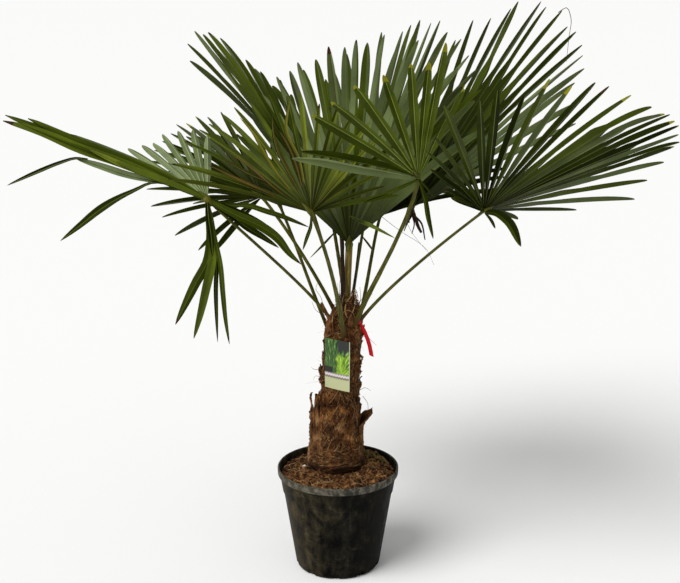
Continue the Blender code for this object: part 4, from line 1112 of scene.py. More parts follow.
def makeBlade(node, sizes, seed):
    # a fan of folded leaflets, joined near the hub and free beyond
    draw = np.random.default_rng(seed)
    turns = np.radians(leafletTurns(sizes))
    count = len(turns)
    joint = math.radians(blade["joint"])
    bridged = np.minimum(np.concatenate([[joint * 2], np.diff(turns), [joint * 2]]) / 2, joint)
    webAngles, webShares = np.array(sizes["web"]).T
    web = np.interp(np.degrees(turns), webAngles, webShares) * (1 + draw.normal(0, 0.07, count))
    hubShare = (blade["knuckleRadius"] if sizes.get("knuckled") else blade["hubRadius"]) / sizes["length"]
    freeShare = np.array(blade["freeShares"])
    shares = np.concatenate([hubShare + (web[:, None] - hubShare) * np.linspace(0, 1, blade["joinedRows"]),
                             web[:, None] + (1 - web[:, None]) * freeShare], axis=1)
    stretch = np.array([sizes.get("reach", {}).get(round(math.degrees(turn)), 1.0) for turn in turns])
    stretch = stretch * (1 + draw.normal(0, 0.012, count))
    centre, reach = leafletLines(sizes, turns, shares, stretch)
    metres = shares * reach[:, None]
    # edges are read at one distance from the hub, so that neighbours of different length still meet
    evenShares = np.clip(metres / sizes["length"], 0, 1)
    left, _ = leafletLines(sizes, turns - bridged[:-1], evenShares)
    right, _ = leafletLines(sizes, turns + bridged[1:], evenShares)
    rows = shares.shape[1]
    atWeb = blade["joinedRows"] - 1
    freed = np.concatenate([np.zeros(blade["joinedRows"]), freeShare])[None, :] * np.ones((count, 1))
    isFree = freed > 0
    side = unit(right - left)
    spacing = np.linalg.norm(right - left, axis=-1) / 2
    middle = (left + right) / 2
    offset = middle[:, atWeb:atWeb + 1] - centre[:, atWeb:atWeb + 1]
    centre = np.where(isFree[..., None], centre + offset * (1 - freed[..., None]), middle)
    natural = sizes["half"] * np.interp(metres / reach[:, None], [0, 0.15, 0.35, 0.55, 0.8, 1],
                                        [0.16, 0.42, 0.78, 0.96, 1.0, 1.0])
    natural = natural * (1 + draw.normal(0, blade["widthSpread"], count)[:, None])
    webHalf = spacing[:, atWeb:atWeb + 1]
    opened = blade["openWidth"] + draw.normal(0, 0.05, count)[:, None]
    wide = webHalf + (natural * opened - webHalf) * smoothStep(freed / 0.25)
    halfWidth = np.where(isFree, wide * tipProfile(freed, sizes["blunt"]), spacing)
    side = np.where(isFree[..., None], side[:, atWeb:atWeb + 1], side)
    # where the leaflet is wider than its share of the fan, it folds the more
    joinedFold = np.sqrt(np.maximum(natural ** 2 - spacing ** 2, (0.30 * spacing) ** 2))
    joinedFold = np.minimum(joinedFold, 1.25 * spacing)
    webSlope = joinedFold[:, atWeb:atWeb + 1] / webHalf
    freeSlope = blade["openFold"] * (1 + draw.normal(0, 0.22, count)[:, None])
    slope = webSlope + (freeSlope - webSlope) * smoothStep(freed / 0.35)
    fold = np.where(isFree, halfWidth * slope, joinedFold)
    # each free leaflet sways, lifts or droops and twists a little in its own way
    _, _, out = bladeAxes(sizes)
    swing = draw.normal(0, blade["swing"], count)[:, None] * freed ** 1.5 * reach[:, None]
    lift = draw.normal(0, blade["lift"], count)[:, None] * freed ** 1.5 * reach[:, None]
    droop = np.abs(draw.normal(0, blade["droop"], count))[:, None] * freed ** 2.4 * reach[:, None]
    centre = centre + side * swing[..., None] + out * lift[..., None] - upward * droop[..., None]
    twist = draw.normal(0, blade["twist"], count)[:, None] * smoothStep(freed)
    along = unit(np.gradient(centre, axis=1))
    normal = unit(np.cross(along, side))
    side = side * np.cos(twist)[..., None] + normal * np.sin(twist)[..., None]
    tones, tipRows = pickTones(draw, sizes, turns, rows)
    # painted shade at the hub: leaflets of blades with hubShade false start beyond its reach
    shaded = metres if sizes.get("hubShade", True) else metres + blade["beyondShade"]
    points, faces, picks, uv = leafStrips(centre, side, halfWidth, fold, tones, tipRows, shaded)
    makePiece(pieceName("blade", node), points, faces, leafFinishes,
              picks=picks, uv=uv, crease=blade["crease"], replaced=("frond_" + node,))


for seed, (node, sizes) in enumerate(fronds.items()):
    makeBlade(node, sizes, 100 + seed)
print("blades made")


# leaflets that have left their fan: each is a smooth strip through a few points, with half its width

brokenHub = [round(1000 * value) for value in fronds["broken"]["hub"]]
bent = {
    # points in millimetres, half width, finish, and how blunt the tip is
    "bundleLong": dict(replaced=("frond_broken_long",), facing=(0.1, -0.8, 0.6), leaflets=[
        ([brokenHub, (-392, -104, 990), (-489, -104, 1031), (-577, -104, 1062), (-664, -104, 1100),
          (-745, -104, 1125)], 0.0125, "fresh", 0.2),
        ([brokenHub, (-401, -98, 1000), (-494, -98, 1041), (-589, -98, 1077), (-676, -98, 1111),
          (-741, -98, 1137)], 0.0110, "mid", 0.2),
        ([brokenHub, (-406, -93, 1009), (-508, -93, 1047), (-596, -93, 1083), (-692, -93, 1129)], 0.0100,
          "fresh", 0.4),
        ([brokenHub, (-391, -111, 993), (-466, -111, 1020), (-554, -110, 1061)], 0.0075, "bright", 0.3),
        ([brokenHub, (-381, -116, 989), (-443, -116, 1012), (-494, -114, 1035)], 0.0070, "fresh", 0.3),
        ([brokenHub, (-402, -89, 1006), (-513, -89, 1056), (-601, -90, 1094)], 0.0080, "sage", 0.2),
    ]),
    "bundleHanging": dict(replaced=("frond_broken_hanging",), facing=(0.0, -1.0, 0.1), leaflets=[
        ([brokenHub, (-293, -113, 914), (-290, -113, 862), (-299, -113, 804), (-326, -112, 755),
          (-355, -112, 698), (-376, -112, 656)], 0.0115, "mid", 0.1),
        ([brokenHub, (-289, -119, 915), (-284, -119, 857), (-287, -118, 806), (-300, -118, 752),
          (-318, -118, 680), (-334, -118, 624)], 0.0105, "fresh", 0.1),
        ([brokenHub, (-287, -108, 913), (-281, -108, 855), (-278, -108, 804), (-281, -108, 737),
          (-281, -108, 666), (-280, -108, 612)], 0.0055, "deep", 0.0),
        ([brokenHub, (-285, -124, 914), (-277, -124, 856), (-268, -122, 805), (-264, -120, 739),
          (-259, -118, 667), (-252, -116, 610)], 0.0062, "mid", 0.2),
        ([brokenHub, (-291, -129, 910), (-286, -130, 870), (-284, -128, 820)], 0.0060, "shade", 0.1),
    ]),
    "bundleInner": dict(replaced=("frond_broken_inner",), facing=(-0.3, -0.8, 0.5), leaflets=[
        ([brokenHub, (-230, -112, 914), (-172, -112, 886), (-138, -112, 861), (-107, -112, 821),
          (-84, -112, 799)], 0.0110, "mid", 0.0),
        ([brokenHub, (-240, -104, 910), (-204, -104, 882), (-168, -104, 859), (-135, -104, 836)], 0.0085,
          "deep", 0.0),
        ([brokenHub, (-222, -98, 916), (-186, -98, 897), (-150, -98, 872), (-118, -98, 842)], 0.0070,
          "fresh", 0.0),
        ([brokenHub, (-245, -91, 933), (-204, -91, 931), (-166, -92, 919), (-125, -94, 906),
          (-66, -94, 882)], 0.0065, "mid", 0.0),
    ]),
    "leafletStrayUpper": dict(replaced=("stray_upper",), facing=(0.0, -0.8, 0.6), leaflets=[
        ([(-380, -110, 984), (-478, -110, 1006), (-538, -109, 1026), (-586, -108, 1041)], 0.0090, "pale",
          0.2),
        ([(-560, -109, 1040), (-586, -110, 1042), (-622, -110, 1032), (-668, -110, 1014),
          (-710, -110, 996), (-744, -110, 981)], 0.0052, "shade", 0.0),
    ]),
    "leafletStrayLower": dict(replaced=("stray_lower",), facing=(0.0, -0.9, 0.4),
                              growth=(0.20, 0.20, 0.50, 1, 1), leaflets=[
        ([(-362, -106, 976), (-392, -112, 986), (-420, -114, 987), (-454, -114, 972), (-496, -113, 952),
          (-537, -112, 927), (-587, -112, 888), (-631, -112, 854)], 0.0095, "deep", 0.0),
    ]),
    "leafletsFrontTwisted": dict(facing=(-0.1, -0.8, -0.6), leaflets=[
        ([(176, -203, 1010), (115, -215, 1023), (37, -215, 1036), (-34, -215, 1050), (-98, -215, 1057)],
          0.0120, "pale", 0.2),
        ([(118, -213, 981), (53, -222, 963)], 0.0060, "mid", 0.1),
    ]),
    "leafletsFrontFlat": dict(facing=(0.1, -0.5, 0.9), leaflets=[
        ([(176, -197, 1014), (124, -200, 1032), (61, -200, 1046), (-6, -200, 1059), (-80, -200, 1069)],
          0.0115, "deep", 0.3),
        ([(176, -204, 1010), (118, -216, 985), (53, -222, 963)], 0.0065, "mid", 0.1),
        ([(176, -204, 1008), (190, -209, 965), (197, -211, 925), (209, -211, 880)], 0.0062, "mid", 0.1),
        ([(176, -203, 1010), (194, -206, 990), (209, -210, 973)], 0.0035, "deep", 0.0),
    ]),
    "leafletsLeftDry": dict(facing=(0.2, -0.9, 0.4), leaflets=[
        ([(-116, -185, 961), (-166, -187, 984), (-214, -182, 1005), (-284, -169, 1036)], 0.0034,
          "withered", 0.0),
        ([(-114, -181, 967), (-144, -173, 990), (-194, -144, 1028), (-247, -120, 1060)], 0.0030,
          "withered", 0.0),
        ([(-109, -183, 963), (-153, -168, 996), (-200, -160, 1017), (-256, -140, 1049)], 0.0022, "dry",
          0.0),
        ([(-77, -167, 976), (-93, -130, 1030), (-112, -98, 1070), (-133, -72, 1101)], 0.0030, "withered",
          0.0),
        ([(-72, -163, 980), (-86, -121, 1040), (-117, -68, 1105), (-113, -35, 1146), (-107, -22, 1175)],
          0.0036, "yellowing", 0.0),
        ([(-83, -169, 974), (-113, -142, 1021), (-136, -110, 1061), (-146, -80, 1095), (-149, -47, 1132)],
          0.0032, "withered", 0.0),
        ([(-92, -175, 968), (-137, -146, 1017), (-169, -112, 1061), (-193, -78, 1097), (-221, -57, 1126)],
          0.0034, "yellowing", 0.0),
    ]),
    "leafletsCrownScraps": dict(facing=(0.0, -0.9, 0.4), leaflets=[
        ([(28, -60, 901), (50, -120, 901), (88, -220, 903), (125, -220, 883)], 0.0050, "fresh", 0.0),
        ([(-58, -202, 932), (-59, -200, 906), (-68, -200, 879), (-77, -200, 852)], 0.0042, "deep", 0.0),
        ([(-4, -40, 862), (-36, -120, 844), (-63, -140, 820)], 0.0026, "grey", 0.0),
        ([(56, -50, 852), (72, -70, 835), (84, -70, 818)], 0.0026, "dry", 0.0),
    ]),
    "leafletsRightFold": dict(facing=(0.5, -0.6, 0.6), growth=(0.6, 0.95, 1, 1, 1), leaflets=[
        ([(332, -85, 923), (289, -160, 988), (241, -241, 1057), (201, -312, 1114)], 0.0098, "mid", 0.3),
        ([(331, -84, 922), (281, -153, 979), (227, -228, 1039), (186, -283, 1081)], 0.0098, "mid", 0.3),
        ([(331, -83, 921), (288, -133, 960), (240, -186, 1000), (199, -230, 1035)], 0.0092, "deep", 0.3),
        ([(332, -82, 920), (300, -112, 942), (266, -144, 964), (236, -172, 982)], 0.0088, "deep", 0.3),
        ([(332, -81, 918), (306, -103, 933), (277, -125, 947), (252, -145, 959)], 0.0078, "mid", 0.3),
    ]),
    "leafletsRightBasal": dict(facing=(0.3, -0.9, 0.3), leaflets=[
        ([(336, -82, 914), (358, -88, 914), (384, -92, 898), (419, -100, 838)], 0.0115, "fresh", 0.0),
        ([(336, -83, 913), (348, -90, 900), (359, -100, 880)], 0.0040, "shade", 0.1),
    ]),
}


def smoothLine(knots, rows):
    # a curve through points in millimetres: a cubic between each two, its slopes from their neighbours
    knots = np.array(knots) / 1000
    place = np.concatenate([[0], np.cumsum(np.linalg.norm(np.diff(knots, axis=0), axis=1))])
    slopes = np.gradient(knots, place, axis=0)
    at = np.linspace(0, place[-1], rows)
    cell = np.clip(np.searchsorted(place, at, side="right") - 1, 0, len(knots) - 2)
    width = (place[cell + 1] - place[cell])[:, None]
    share = (at - place[cell])[:, None] / width
    return (knots[cell] * (1 + 2 * share) * (1 - share) ** 2
            + slopes[cell] * width * share * (1 - share) ** 2
            + knots[cell + 1] * share ** 2 * (3 - 2 * share)
            + slopes[cell + 1] * width * share ** 2 * (share - 1)), at


def makeBentLeaflets(name, group, seed, rows=22):
    # growth is the width at the foot, at 0.12, 0.35 and 0.6 of the length, and at the tip
    draw = np.random.default_rng(seed)
    count = len(group["leaflets"])
    knots, half, own, blunt = zip(*group["leaflets"])
    centre, metres = (np.stack(parts) for parts in zip(*(smoothLine(points, rows) for points in knots)))
    half, blunt = np.array(half)[:, None], np.array(blunt)[:, None]
    share = metres / metres[:, -1:]
    growth = group.get("growth", (0.35, 0.60, 0.88, 1, 1))
    halfWidth = half * np.interp(share, [0, 0.12, 0.35, 0.6, 1], growth)
    halfWidth = halfWidth * tipProfile(share, blunt)
    along = unit(np.gradient(centre, axis=1))
    facing = unit(np.array(group["facing"]))
    side = unit(np.cross(facing, along))
    normal = np.cross(along, side)
    twist = draw.normal(0, 0.22, count)[:, None] * (share - 0.3)
    side = side * np.cos(twist)[..., None] + normal * np.sin(twist)[..., None]
    fold = halfWidth * (0.55 + draw.normal(0, 0.1, count)[:, None])
    own = np.array([toneIndex[tone] for tone in own])
    darker = np.where(own == toneIndex["pale"], toneIndex["sage"], toneIndex["deep"])
    tones = {"leftHalf": own, "rightHalf": np.where(draw.random(count) < 0.4, darker, own),
             "rib": np.full(count, toneIndex["rib"]), "tip": np.full(count, toneIndex["dry"]),
             "underLeft": darker, "underRight": own, "underRib": np.full(count, toneIndex["rib"])}
    tipRows = np.where(draw.random(count) < 0.35, rows - 2, rows)
    # bent leaflets start beyond the reach of the painted hub shade
    points, faces, picks, uv = leafStrips(centre, side, halfWidth, fold, tones, tipRows,
                                          metres + blade["beyondShade"])
    makePiece(name, points, faces, leafFinishes, picks=picks, uv=uv, crease=blade["crease"],
              replaced=group.get("replaced", ()))


for seed, (name, group) in enumerate(bent.items()):
    makeBentLeaflets(name, group, 300 + seed)
print("bent leaflets made")


# stalks: a tapering bar, flat above and rounded below, with fine teeth on its two edges

stalk = {"footRadius": 0.0078, "tipRadius": 0.0042, "rows": 60, "sides": 14, "sunk": 0.012,
         "toothSpacing": 0.009, "toothHeight": 0.10, "footSpread": 0.35, "footLength": 0.05,
         "tipLength": 0.014, "flatAbove": 0.42, "roundBelow": 0.95}


def stalkLine(sizes):
    # a cubic curve from the trunk to the hub, by the same rule as the solid
    hub = np.array(sizes["hub"])
    if sizes["foot"] is None:
        middle = trunkCentre(np.array(trunk["top"]))
        start = np.array([middle[0], middle[1], trunk["top"] - stalk["sunk"]])
        lead = upward
    else:
        angle, height = sizes["foot"]
        outward = heading(angle)
        middle = trunkCentre(np.array(height))
        radius = float(np.interp(height, trunkHeights, trunkRadii))
        start = np.array([middle[0], middle[1], height]) + outward * radius
        lead = unit(unit(hub - start) * 0.5 + upward * 0.6 + outward * 0.3)
        start = start + outward * stalk["footRadius"] * 0.9 - lead * stalk["sunk"]
    arrive = unit(unit(hub - start) + 0.35 * bladeAxes(sizes)[0])
    span = np.linalg.norm(hub - start)
    leave, meet = start + lead * span * 0.25, hub - arrive * span * 0.3
    t = np.linspace(0, 1, stalk["rows"])[:, None]
    return (start * (1 - t) ** 3 + leave * 3 * t * (1 - t) ** 2 + meet * 3 * t * t * (1 - t)
            + hub * t ** 3)


def tubeUv(lengths, sides):
    # round the tube, and along it in metres, with the two end points last
    grid = np.stack(np.broadcast_arrays(np.arange(sides) / sides, lengths[:, None]), axis=-1)
    return np.vstack([grid.reshape(-1, 2), [[0.5, lengths[0]], [0.5, lengths[-1]]]])


def makeStalk(node, sizes):
    line = stalkLine(sizes)
    along = unit(np.gradient(line, axis=0))
    _, _, out = bladeAxes(sizes)
    lengths = pathLengths(line)
    share = lengths / lengths[-1]
    side = unit(np.cross(along, out))
    normal = np.cross(side, along)
    tipRadius = sizes.get("tipSize", min(stalk["tipRadius"], sizes["footSize"] * 0.85))
    radius = tipRadius + (sizes["footSize"] - tipRadius) * (1 - share) ** 1.5
    # the foot spreads into the sheath and the tip spreads into the blade
    nearTip = np.clip(1 - (lengths[-1] - lengths) / stalk["tipLength"], 0, 1)
    wide = radius * (1 + stalk["footSpread"] * np.clip(1 - lengths / stalk["footLength"], 0, 1) ** 2)
    wide = wide * (1 + max(stalk["tipRadius"] / tipRadius - 0.55, 0) * nearTip ** 2)
    tooth = np.abs(((lengths / stalk["toothSpacing"]) % 1) - 0.5) * (share < 0.95)
    turns = ringAngles(stalk["sides"])
    flat = np.where(np.sin(turns) > 0, stalk["flatAbove"], stalk["roundBelow"])
    edge = np.abs(np.sin(turns)) < 0.3
    sideways = wide[:, None] * np.cos(turns) * (1 + 2 * stalk["toothHeight"] * tooth[:, None] * edge)
    height = radius[:, None] * np.sin(turns) * flat
    points = (line[:, None, :] + side[:, None, :] * sideways[..., None]
              + normal[:, None, :] * height[..., None])
    ends = np.array([line[0], line[-1] + along[-1] * 0.003])
    makePiece(pieceName("stalk", node), np.vstack([points.reshape(-1, 3), ends]),
              tubeFaces(stalk["rows"], stalk["sides"], True),
              [stalkAged if sizes.get("aged") else stalkWaxed], uv=tubeUv(lengths, stalk["sides"]),
              crease=60, replaced=("stalk_" + node,))


stalkWaxed = stalkFinish("leafStalkWaxedGreen", [(0.30, "2E2E04"), (0.50, "484A0E"), (0.70, "6E6A26")])
stalkAged = stalkFinish("leafStalkAgedOlive", [(0.30, "4A3D0E"), (0.50, "6A5A22"), (0.70, "8E7C44")])
stalkDark = stalkFinish("leafStalkDarkBrown", [(0.30, "140C04"), (0.50, "261A0A"), (0.70, "403014")])
for node, sizes in fronds.items():
    makeStalk(node, sizes)
print("stalks made")


# where a stalk enters its blade: a pointed green wedge, the hastula, on the upper face

def thickLine(line, side, halfWidths, halfDepths, sides=14):
    # rings of an oval tube along a line, and the two points that close it
    along = unit(np.gradient(line, axis=0))
    side = unit(side - along * np.sum(side * along, axis=-1, keepdims=True))
    normal = np.cross(along, side)
    turns = ringAngles(sides)
    rings = (line[:, None, :] + side[:, None, :] * (halfWidths[:, None] * np.cos(turns))[..., None]
             + normal[:, None, :] * (halfDepths[:, None] * np.sin(turns))[..., None])
    return rings, np.array([line[0] - along[0] * 0.0005, line[-1] + along[-1] * 0.0005])


def joinTubes(name, tubes, finish, replaced=(), grownBefore=0.0):
    # several closed tubes as one piece; grownBefore is the length of stalk before their first ring
    points, faces, uv, offset = [], [], [], 0
    for rings, ends in tubes:
        rows, sides = rings.shape[:2]
        faces += tubeFaces(rows, sides, False, offset)
        uv.append(tubeUv(pathLengths(rings.mean(axis=1)) + grownBefore, sides))
        points += [rings.reshape(-1, 3), ends]
        offset += rows * sides + 2
    makePiece(name, np.vstack(points), faces, [finish], uv=np.vstack(uv), crease=70,
              replaced=replaced)


hastula = {"rows": 22, "before": 0.016, "length": 0.034, "half": 0.0072, "depth": 0.0036, "lift": 0.0012,
           "thickStalk": (1.7, 0.7), "broken": (1.5, 1.5)}     # these two scale its width and length


def hastulaTube(sizes, scale=1.0, stretch=1.0):
    along, across, out = bladeAxes(sizes)
    hub = np.array(sizes["hub"])
    arriving = stalkLine(sizes)
    back = unit(arriving[-1] - arriving[-4])
    t = np.linspace(-1, 1, hastula["rows"])
    before, after = np.clip(-t, 0, 1)[:, None], np.clip(t, 0, 1)[:, None]
    line = hub - back * before * hastula["before"] + along * after * hastula["length"] * stretch
    line = line + out * hastula["lift"] * after
    widths = hastula["half"] * scale * np.interp(t, [-1, -0.5, 0.1, 0.45, 0.8, 1],
                                                 [0.55, 0.70, 1, 0.66, 0.26, 0.03])
    depths = hastula["depth"] * scale * np.interp(t, [-1, 0, 0.4, 1], [0.8, 1, 0.75, 0.15])
    return thickLine(line, np.broadcast_to(across, line.shape), widths, depths)


joinTubes("hastulaWedges", [hastulaTube(sizes, *(hastula["thickStalk"] if "tipSize" in sizes else ()))
                            for node, sizes in fronds.items() if node != "broken"],
          stalkWaxed, grownBefore=0.3)
joinTubes("hastulaBroken", [hastulaTube(fronds["broken"], *hastula["broken"])], stalkWaxed,
          replaced=("broken_knuckle",), grownBefore=0.3)


# the crown: cut stubs and a dark young stem among the stalks, and the fibre that binds them

crownStems = {
    # name: points in millimetres, radius at the foot, radius at the tip
    "darkStem": ([(14, -26, 600), (11, -24, 660), (12, -18, 715), (11, -12, 775), (10, -4, 835)], 0.0062,
      0.0048),
    "thinStem": ([(36, -12, 640), (37, -6, 685), (43, 8, 756), (50, 20, 822)], 0.0030, 0.0015),
    "leftStub": ([(-12, -30, 615), (-20, -32, 645), (-30, -34, 668), (-39, -36, 688)], 0.0060, 0.0030),
    "rearStub": ([(20, 30, 630), (22, 42, 670), (26, 56, 712)], 0.0060, 0.0035),
    "sideStub": ([(44, 0, 620), (56, 2, 652), (66, 2, 690)], 0.0050, 0.0022),
}


def stemTube(points, footRadius, tipRadius, rows=40):
    line, at = smoothLine(points, rows)
    share = at / at[-1]
    widths = footRadius + (tipRadius - footRadius) * share
    widths = widths * (1 + 0.10 * smoothNoise(share * 14, share * 0, share * 0, 33))
    side = np.broadcast_to(np.array([1.0, -0.2, 0.1]), line.shape)
    return thickLine(line, side, widths, widths * 0.7)


joinTubes("crownYoungStems", [stemTube(*crownStems[name]) for name in ("darkStem", "thinStem")], stalkDark)
joinTubes("crownCutStubs", [stemTube(*crownStems[name]) for name in ("leftStub", "rearStub", "sideStub")],
          sheathFelt)


crownFibres = {
    "count": 620, "seed": 29, "heights": (0.600, 0.684),
    "outline": [(0.600, 0.0430), (0.630, 0.0385), (0.660, 0.0270), (0.690, 0.0150)],
}


def makeCrownFibres():
    # curling fibres wrap the stalk feet and stray up between them
    draw = np.random.default_rng(crownFibres["seed"])
    count = crownFibres["count"]
    share = np.linspace(0, 1, 9)
    height = draw.uniform(*crownFibres["heights"], count)
    angle = draw.uniform(0, 2 * np.pi, count)
    turn = angle[:, None] + draw.normal(0, 0.9, (count, 1)) * share
    rise = draw.uniform(-0.010, 0.034, (count, 1)) * share
    radius = np.interp(height, *np.array(crownFibres["outline"]).T)[:, None]
    bow = np.sin(np.pi * share)
    radius = radius * (1 - 0.25 * share) + np.abs(draw.normal(0, 0.0035, (count, 1))) * bow
    level = height[:, None] + rise + draw.normal(0, 0.006, (count, 1)) * bow
    paths = pointAt(level, turn, radius + 0.002)
    radii = np.outer(draw.uniform(0.0004, 0.0009, count), 1 - 0.6 * share)
    makeThreadPiece("crownFibreCurls", paths, radii, draw.choice(3, count, p=(0.30, 0.50, 0.20)))


makeCrownFibres()

wisps = {
    # name: finish, list of (points in millimetres, radius)
    "crownCurls": (threadPale, [
        ([(22, -40, 652), (17, -46, 672), (20, -45, 690), (32, -43, 706), (41, -40, 722), (46, -36, 712)],
          0.0022),
        ([(26, -38, 648), (36, -43, 670), (42, -42, 694), (38, -40, 714)], 0.0018),
        ([(4, -40, 640), (10, -46, 664), (24, -46, 672), (36, -44, 664), (40, -40, 650)], 0.0016),
        ([(12, -36, 655), (10, -40, 690), (18, -38, 712), (26, -34, 700)], 0.0014),
        ([(-14, -36, 640), (-10, -42, 662), (2, -44, 676)], 0.0016),
    ]),
    "crownLooseHairs": (threadBrown, [
        ([(-34, -30, 660), (-40, -34, 700), (-52, -36, 722), (-46, -40, 742)], 0.0009),
        ([(-30, -30, 655), (-52, -32, 668), (-62, -34, 690)], 0.0008),
        ([(10, -34, 660), (3, -34, 700), (5, -34, 740), (12, -30, 776)], 0.0008),
        ([(6, -30, 660), (-1, -32, 700), (0, -32, 735)], 0.0008),
        ([(40, -26, 665), (60, -30, 700), (72, -30, 716), (82, -30, 706)], 0.0008),
        ([(50, -20, 600), (70, -24, 598), (92, -28, 580)], 0.0007),
        ([(18, -40, 650), (30, -42, 690), (42, -40, 716), (48, -38, 700), (40, -40, 684)], 0.0011),
        ([(10, -40, 640), (18, -44, 676), (34, -42, 700)], 0.0010),
        ([(32, -38, 640), (44, -38, 665), (54, -34, 700), (52, -30, 724)], 0.0010),
    ]),
    "sleeveLooseHairs": (threadBrown, [
        ([(52, -12, 460), (66, -16, 468), (80, -20, 462)], 0.0008),
        ([(60, -14, 446), (72, -18, 430), (73, -18, 404)], 0.0008),
        ([(-44, -24, 520), (-56, -26, 518), (-64, -26, 524)], 0.0008),
        ([(-42, -26, 500), (-54, -28, 502), (-60, -28, 492)], 0.0006),
    ]),
    "dryFlowerStub": (threadDark, [
        ([(186, 250, 870), (192, 250, 849), (200, 240, 828), (214, 240, 800)], 0.0085),
        ([(184, 252, 862), (178, 250, 840), (182, 248, 824)], 0.0070),
        ([(192, 250, 849), (178, 250, 822), (170, 250, 802)], 0.0032),
        ([(196, 248, 842), (212, 246, 826), (224, 240, 781)], 0.0036),
        ([(190, 250, 846), (196, 248, 820), (190, 246, 796)], 0.0028),
    ]),
    "leafTipThread": (threadBrown, [
        ([(548, 280, 1350), (568, 278, 1362), (578, 272, 1340), (574, 262, 1290), (568, 250, 1232)],
          0.0012),
    ]),
    "dryFlowerThreads": (threadBrown, [
        ([(110, 308, 832), (141, 260, 815), (172, 240, 796), (206, 240, 775), (227, 240, 757),
          (248, 240, 715)], 0.0008),
        ([(190, 256, 866), (174, 248, 840), (183, 240, 812), (200, 240, 786), (227, 240, 754)], 0.0007),
        ([(192, 250, 849), (170, 250, 822), (154, 250, 800)], 0.0010),
    ]),
}


def makeWisps(name, finish, lines, rows=16):
    paths = np.stack([smoothLine(points, rows)[0] for points, _ in lines])
    radii = np.array([radius for _, radius in lines])[:, None] * np.linspace(1, 0.45, rows)[None, :]
    points, faces = tubeStrands(paths, radii)
    makePiece(name, points, faces, [finish], crease=180)


for name, (finish, lines) in wisps.items():
    makeWisps(name, finish, lines)
print("crown made")


# the card that hangs against the trunk, slightly bowed, and the red ribbon

card = {"width": 0.072, "height": 0.124, "thickness": 0.0010, "turn": -125, "level": 0.535,
        "away": 0.0475, "aside": 0.020, "bow": 0.0012, "rows": 44, "columns": 26}


def makeCard():
    facing, sideways = heading(card["turn"]), heading(card["turn"] + 90)
    foot = trunkCentre(np.array(card["level"]))
    middle = np.array([*foot, card["level"]]) + facing * card["away"] + sideways * card["aside"]
    up, across = np.meshgrid(np.linspace(0, 1, card["rows"]), np.linspace(0, 1, card["columns"]),
                             indexing="ij")
    bow = card["bow"] * (1 - (2 * across - 1) ** 2) + 0.0008 * np.sin(3.0 * up + 2.0 * across)
    skin = (middle + sideways * ((across - 0.5) * card["width"])[..., None]
            + upward * ((up - 0.5) * card["height"])[..., None] + facing * bow[..., None])
    grid = np.stack([across, up], axis=-1).reshape(-1, 2)
    skinsToPiece("printedCard", skin, skin + facing * card["thickness"], cardGloss,
                 ("name_card",), 40, np.vstack([grid, grid]))


ribbon = {"height": 0.636, "angle": -38, "away": 0.0065, "width": 0.0100, "thickness": 0.0009,
          "rows": 70, "columns": 9, "tip": (0.0805, -0.024, 0.5515), "length": 0.085, "slant": 0.0028,
          "knotSize": 0.0036, "knotTurns": ((0.5, 1.0), (-0.7, 0.86)), "knotRows": 40,
          "knotHalf": (0.0034, 0.0016)}


def makeRibbon():
    # a hanging tail with a slight twist, cut aslant, and a knot of two crossed turns
    outward, sideways = heading(ribbon["angle"]), heading(ribbon["angle"] + 90)
    knot = trunkPoint(np.array(ribbon["height"]), np.radians(ribbon["angle"])) + outward * ribbon["away"]
    start, tip = knot + outward * 0.002 + np.array([0.0007, 0, -0.004]), np.array(ribbon["tip"])
    t = np.linspace(0, 1, ribbon["rows"])[:, None]
    line = start + (tip - start) * t + outward * 0.006 * np.sin(np.pi * t)
    along = unit(np.gradient(line, axis=0))
    side = unit(np.cross(np.cross(along, np.array([0.85, -0.5, 0.2])), along))
    normal = np.cross(side, along)
    turn = 0.35 * np.sin(2.4 * t)
    side = side * np.cos(turn) + normal * np.sin(turn)
    normal = np.cross(side, along)
    across = np.linspace(-1, 1, ribbon["columns"])[None, :]
    half = ribbon["width"] / 2 * np.interp(t, [0, 0.12, 1], [0.62, 0.95, 1.0])
    slant = along[:, None, :] * (ribbon["slant"] * across * t ** 8)[..., None]
    skin = (line[:, None, :] + side[:, None, :] * (half * across)[..., None] + slant
            + normal[:, None, :] * (0.0009 * across ** 2 + 0.0004 * np.sin(30 * t))[..., None])
    grid = np.stack(np.broadcast_arrays((across + 1) / 2, t * ribbon["length"]), axis=-1).reshape(-1, 2)
    skinsToPiece("ribbonTail", skin, skin + normal[:, None, :] * ribbon["thickness"], ribbonRed,
                 ("ribbon_tail",), 60, np.vstack([grid, grid]))
    tubes = []
    wide, deep = ribbon["knotHalf"]
    for tilt, size in ribbon["knotTurns"]:
        turn = np.linspace(0, 2 * np.pi, ribbon["knotRows"])[:, None] * 0.995
        lean = sideways * math.cos(tilt) + upward * math.sin(tilt)
        loop = knot + (lean * np.cos(turn) + outward * np.sin(turn) * 0.75) * ribbon["knotSize"] * size
        tubes.append(thickLine(loop, np.broadcast_to(np.cross(lean, outward), loop.shape),
                               np.full(len(loop), wide * size), np.full(len(loop), deep)))
    joinTubes("ribbonKnot", tubes, ribbonRed, replaced=("ribbon_knot",))


makeCard()
makeRibbon()
print("card and ribbon made")


# the camera, the floor and the light

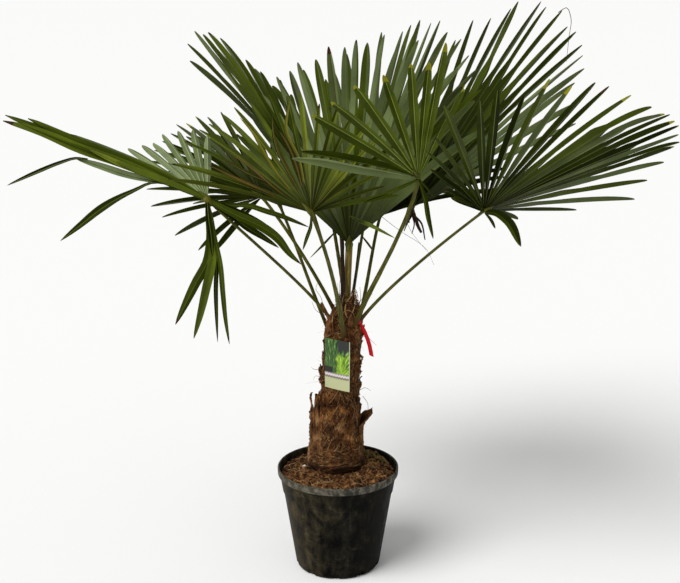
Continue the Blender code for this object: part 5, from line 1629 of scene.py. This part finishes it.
camera = {"place": (0.005, -2.80, 1.43), "pitch": 14.5, "focalPixels": 1207.0, "frameWidth": 680,
          "sensor": 36.0}
cameraData = bpy.data.cameras.new("studioCamera")
cameraData.sensor_width = camera["sensor"]
cameraData.lens = camera["focalPixels"] / camera["frameWidth"] * camera["sensor"]
cameraObject = bpy.data.objects.new("studioCamera", cameraData)
cameraObject.location = camera["place"]
cameraObject.rotation_euler = (math.radians(90 - camera["pitch"]), 0, 0)
bpy.context.scene.collection.objects.link(cameraObject)
bpy.context.scene.camera = cameraObject

studio = {"floorSize": 400.0, "floorColour": "FBFBFA", "skyStrength": 0.45, "sunStrength": 2.3,
          "sunTurn": (24, -32, 0), "sunSoftness": 38}
floorPaint, floorTree = newFinish("studioFloorMatt", 0.9, 0.1)
floorTree.nodes["Principled BSDF"].inputs["Base Color"].default_value = toLinear(studio["floorColour"])
half = studio["floorSize"] / 2
floorMesh = bpy.data.meshes.new("studioFloor")
floorMesh.from_pydata([(-half, -half, 0), (half, -half, 0), (half, half, 0), (-half, half, 0)], [],
                      [(0, 1, 2, 3)])
floorMesh.materials.append(floorPaint)
floor = bpy.data.objects.new("studioFloor", floorMesh)
bpy.context.scene.collection.objects.link(floor)

world = bpy.data.worlds.new("softSky")
world.use_nodes = True
sky = world.node_tree
skyLight = sky.nodes["Background"]
skyLight.inputs["Color"].default_value = (1.0, 1.0, 1.0, 1.0)
skyLight.inputs["Strength"].default_value = studio["skyStrength"]
# behind the floor's edge the sky looks as pale as the floor
skySeen = addNode(sky, "Background", {"Color": studio["floorColour"]})
skyPath = addNode(sky, "LightPath", output="Is Camera Ray")
skyMix = addNode(sky, "MixShader", (skyPath, skyLight.outputs["Background"], skySeen))
sky.links.new(skyMix, sky.nodes["World Output"].inputs["Surface"])
bpy.context.scene.world = world
sunData = bpy.data.lights.new("softKey", "SUN")
sunData.energy = studio["sunStrength"]
sunData.angle = math.radians(studio["sunSoftness"])
sun = bpy.data.objects.new("softKey", sunData)
sun.rotation_euler = [math.radians(angle) for angle in studio["sunTurn"]]
bpy.context.scene.collection.objects.link(sun)
bpy.context.scene.view_settings.view_transform = "Standard"
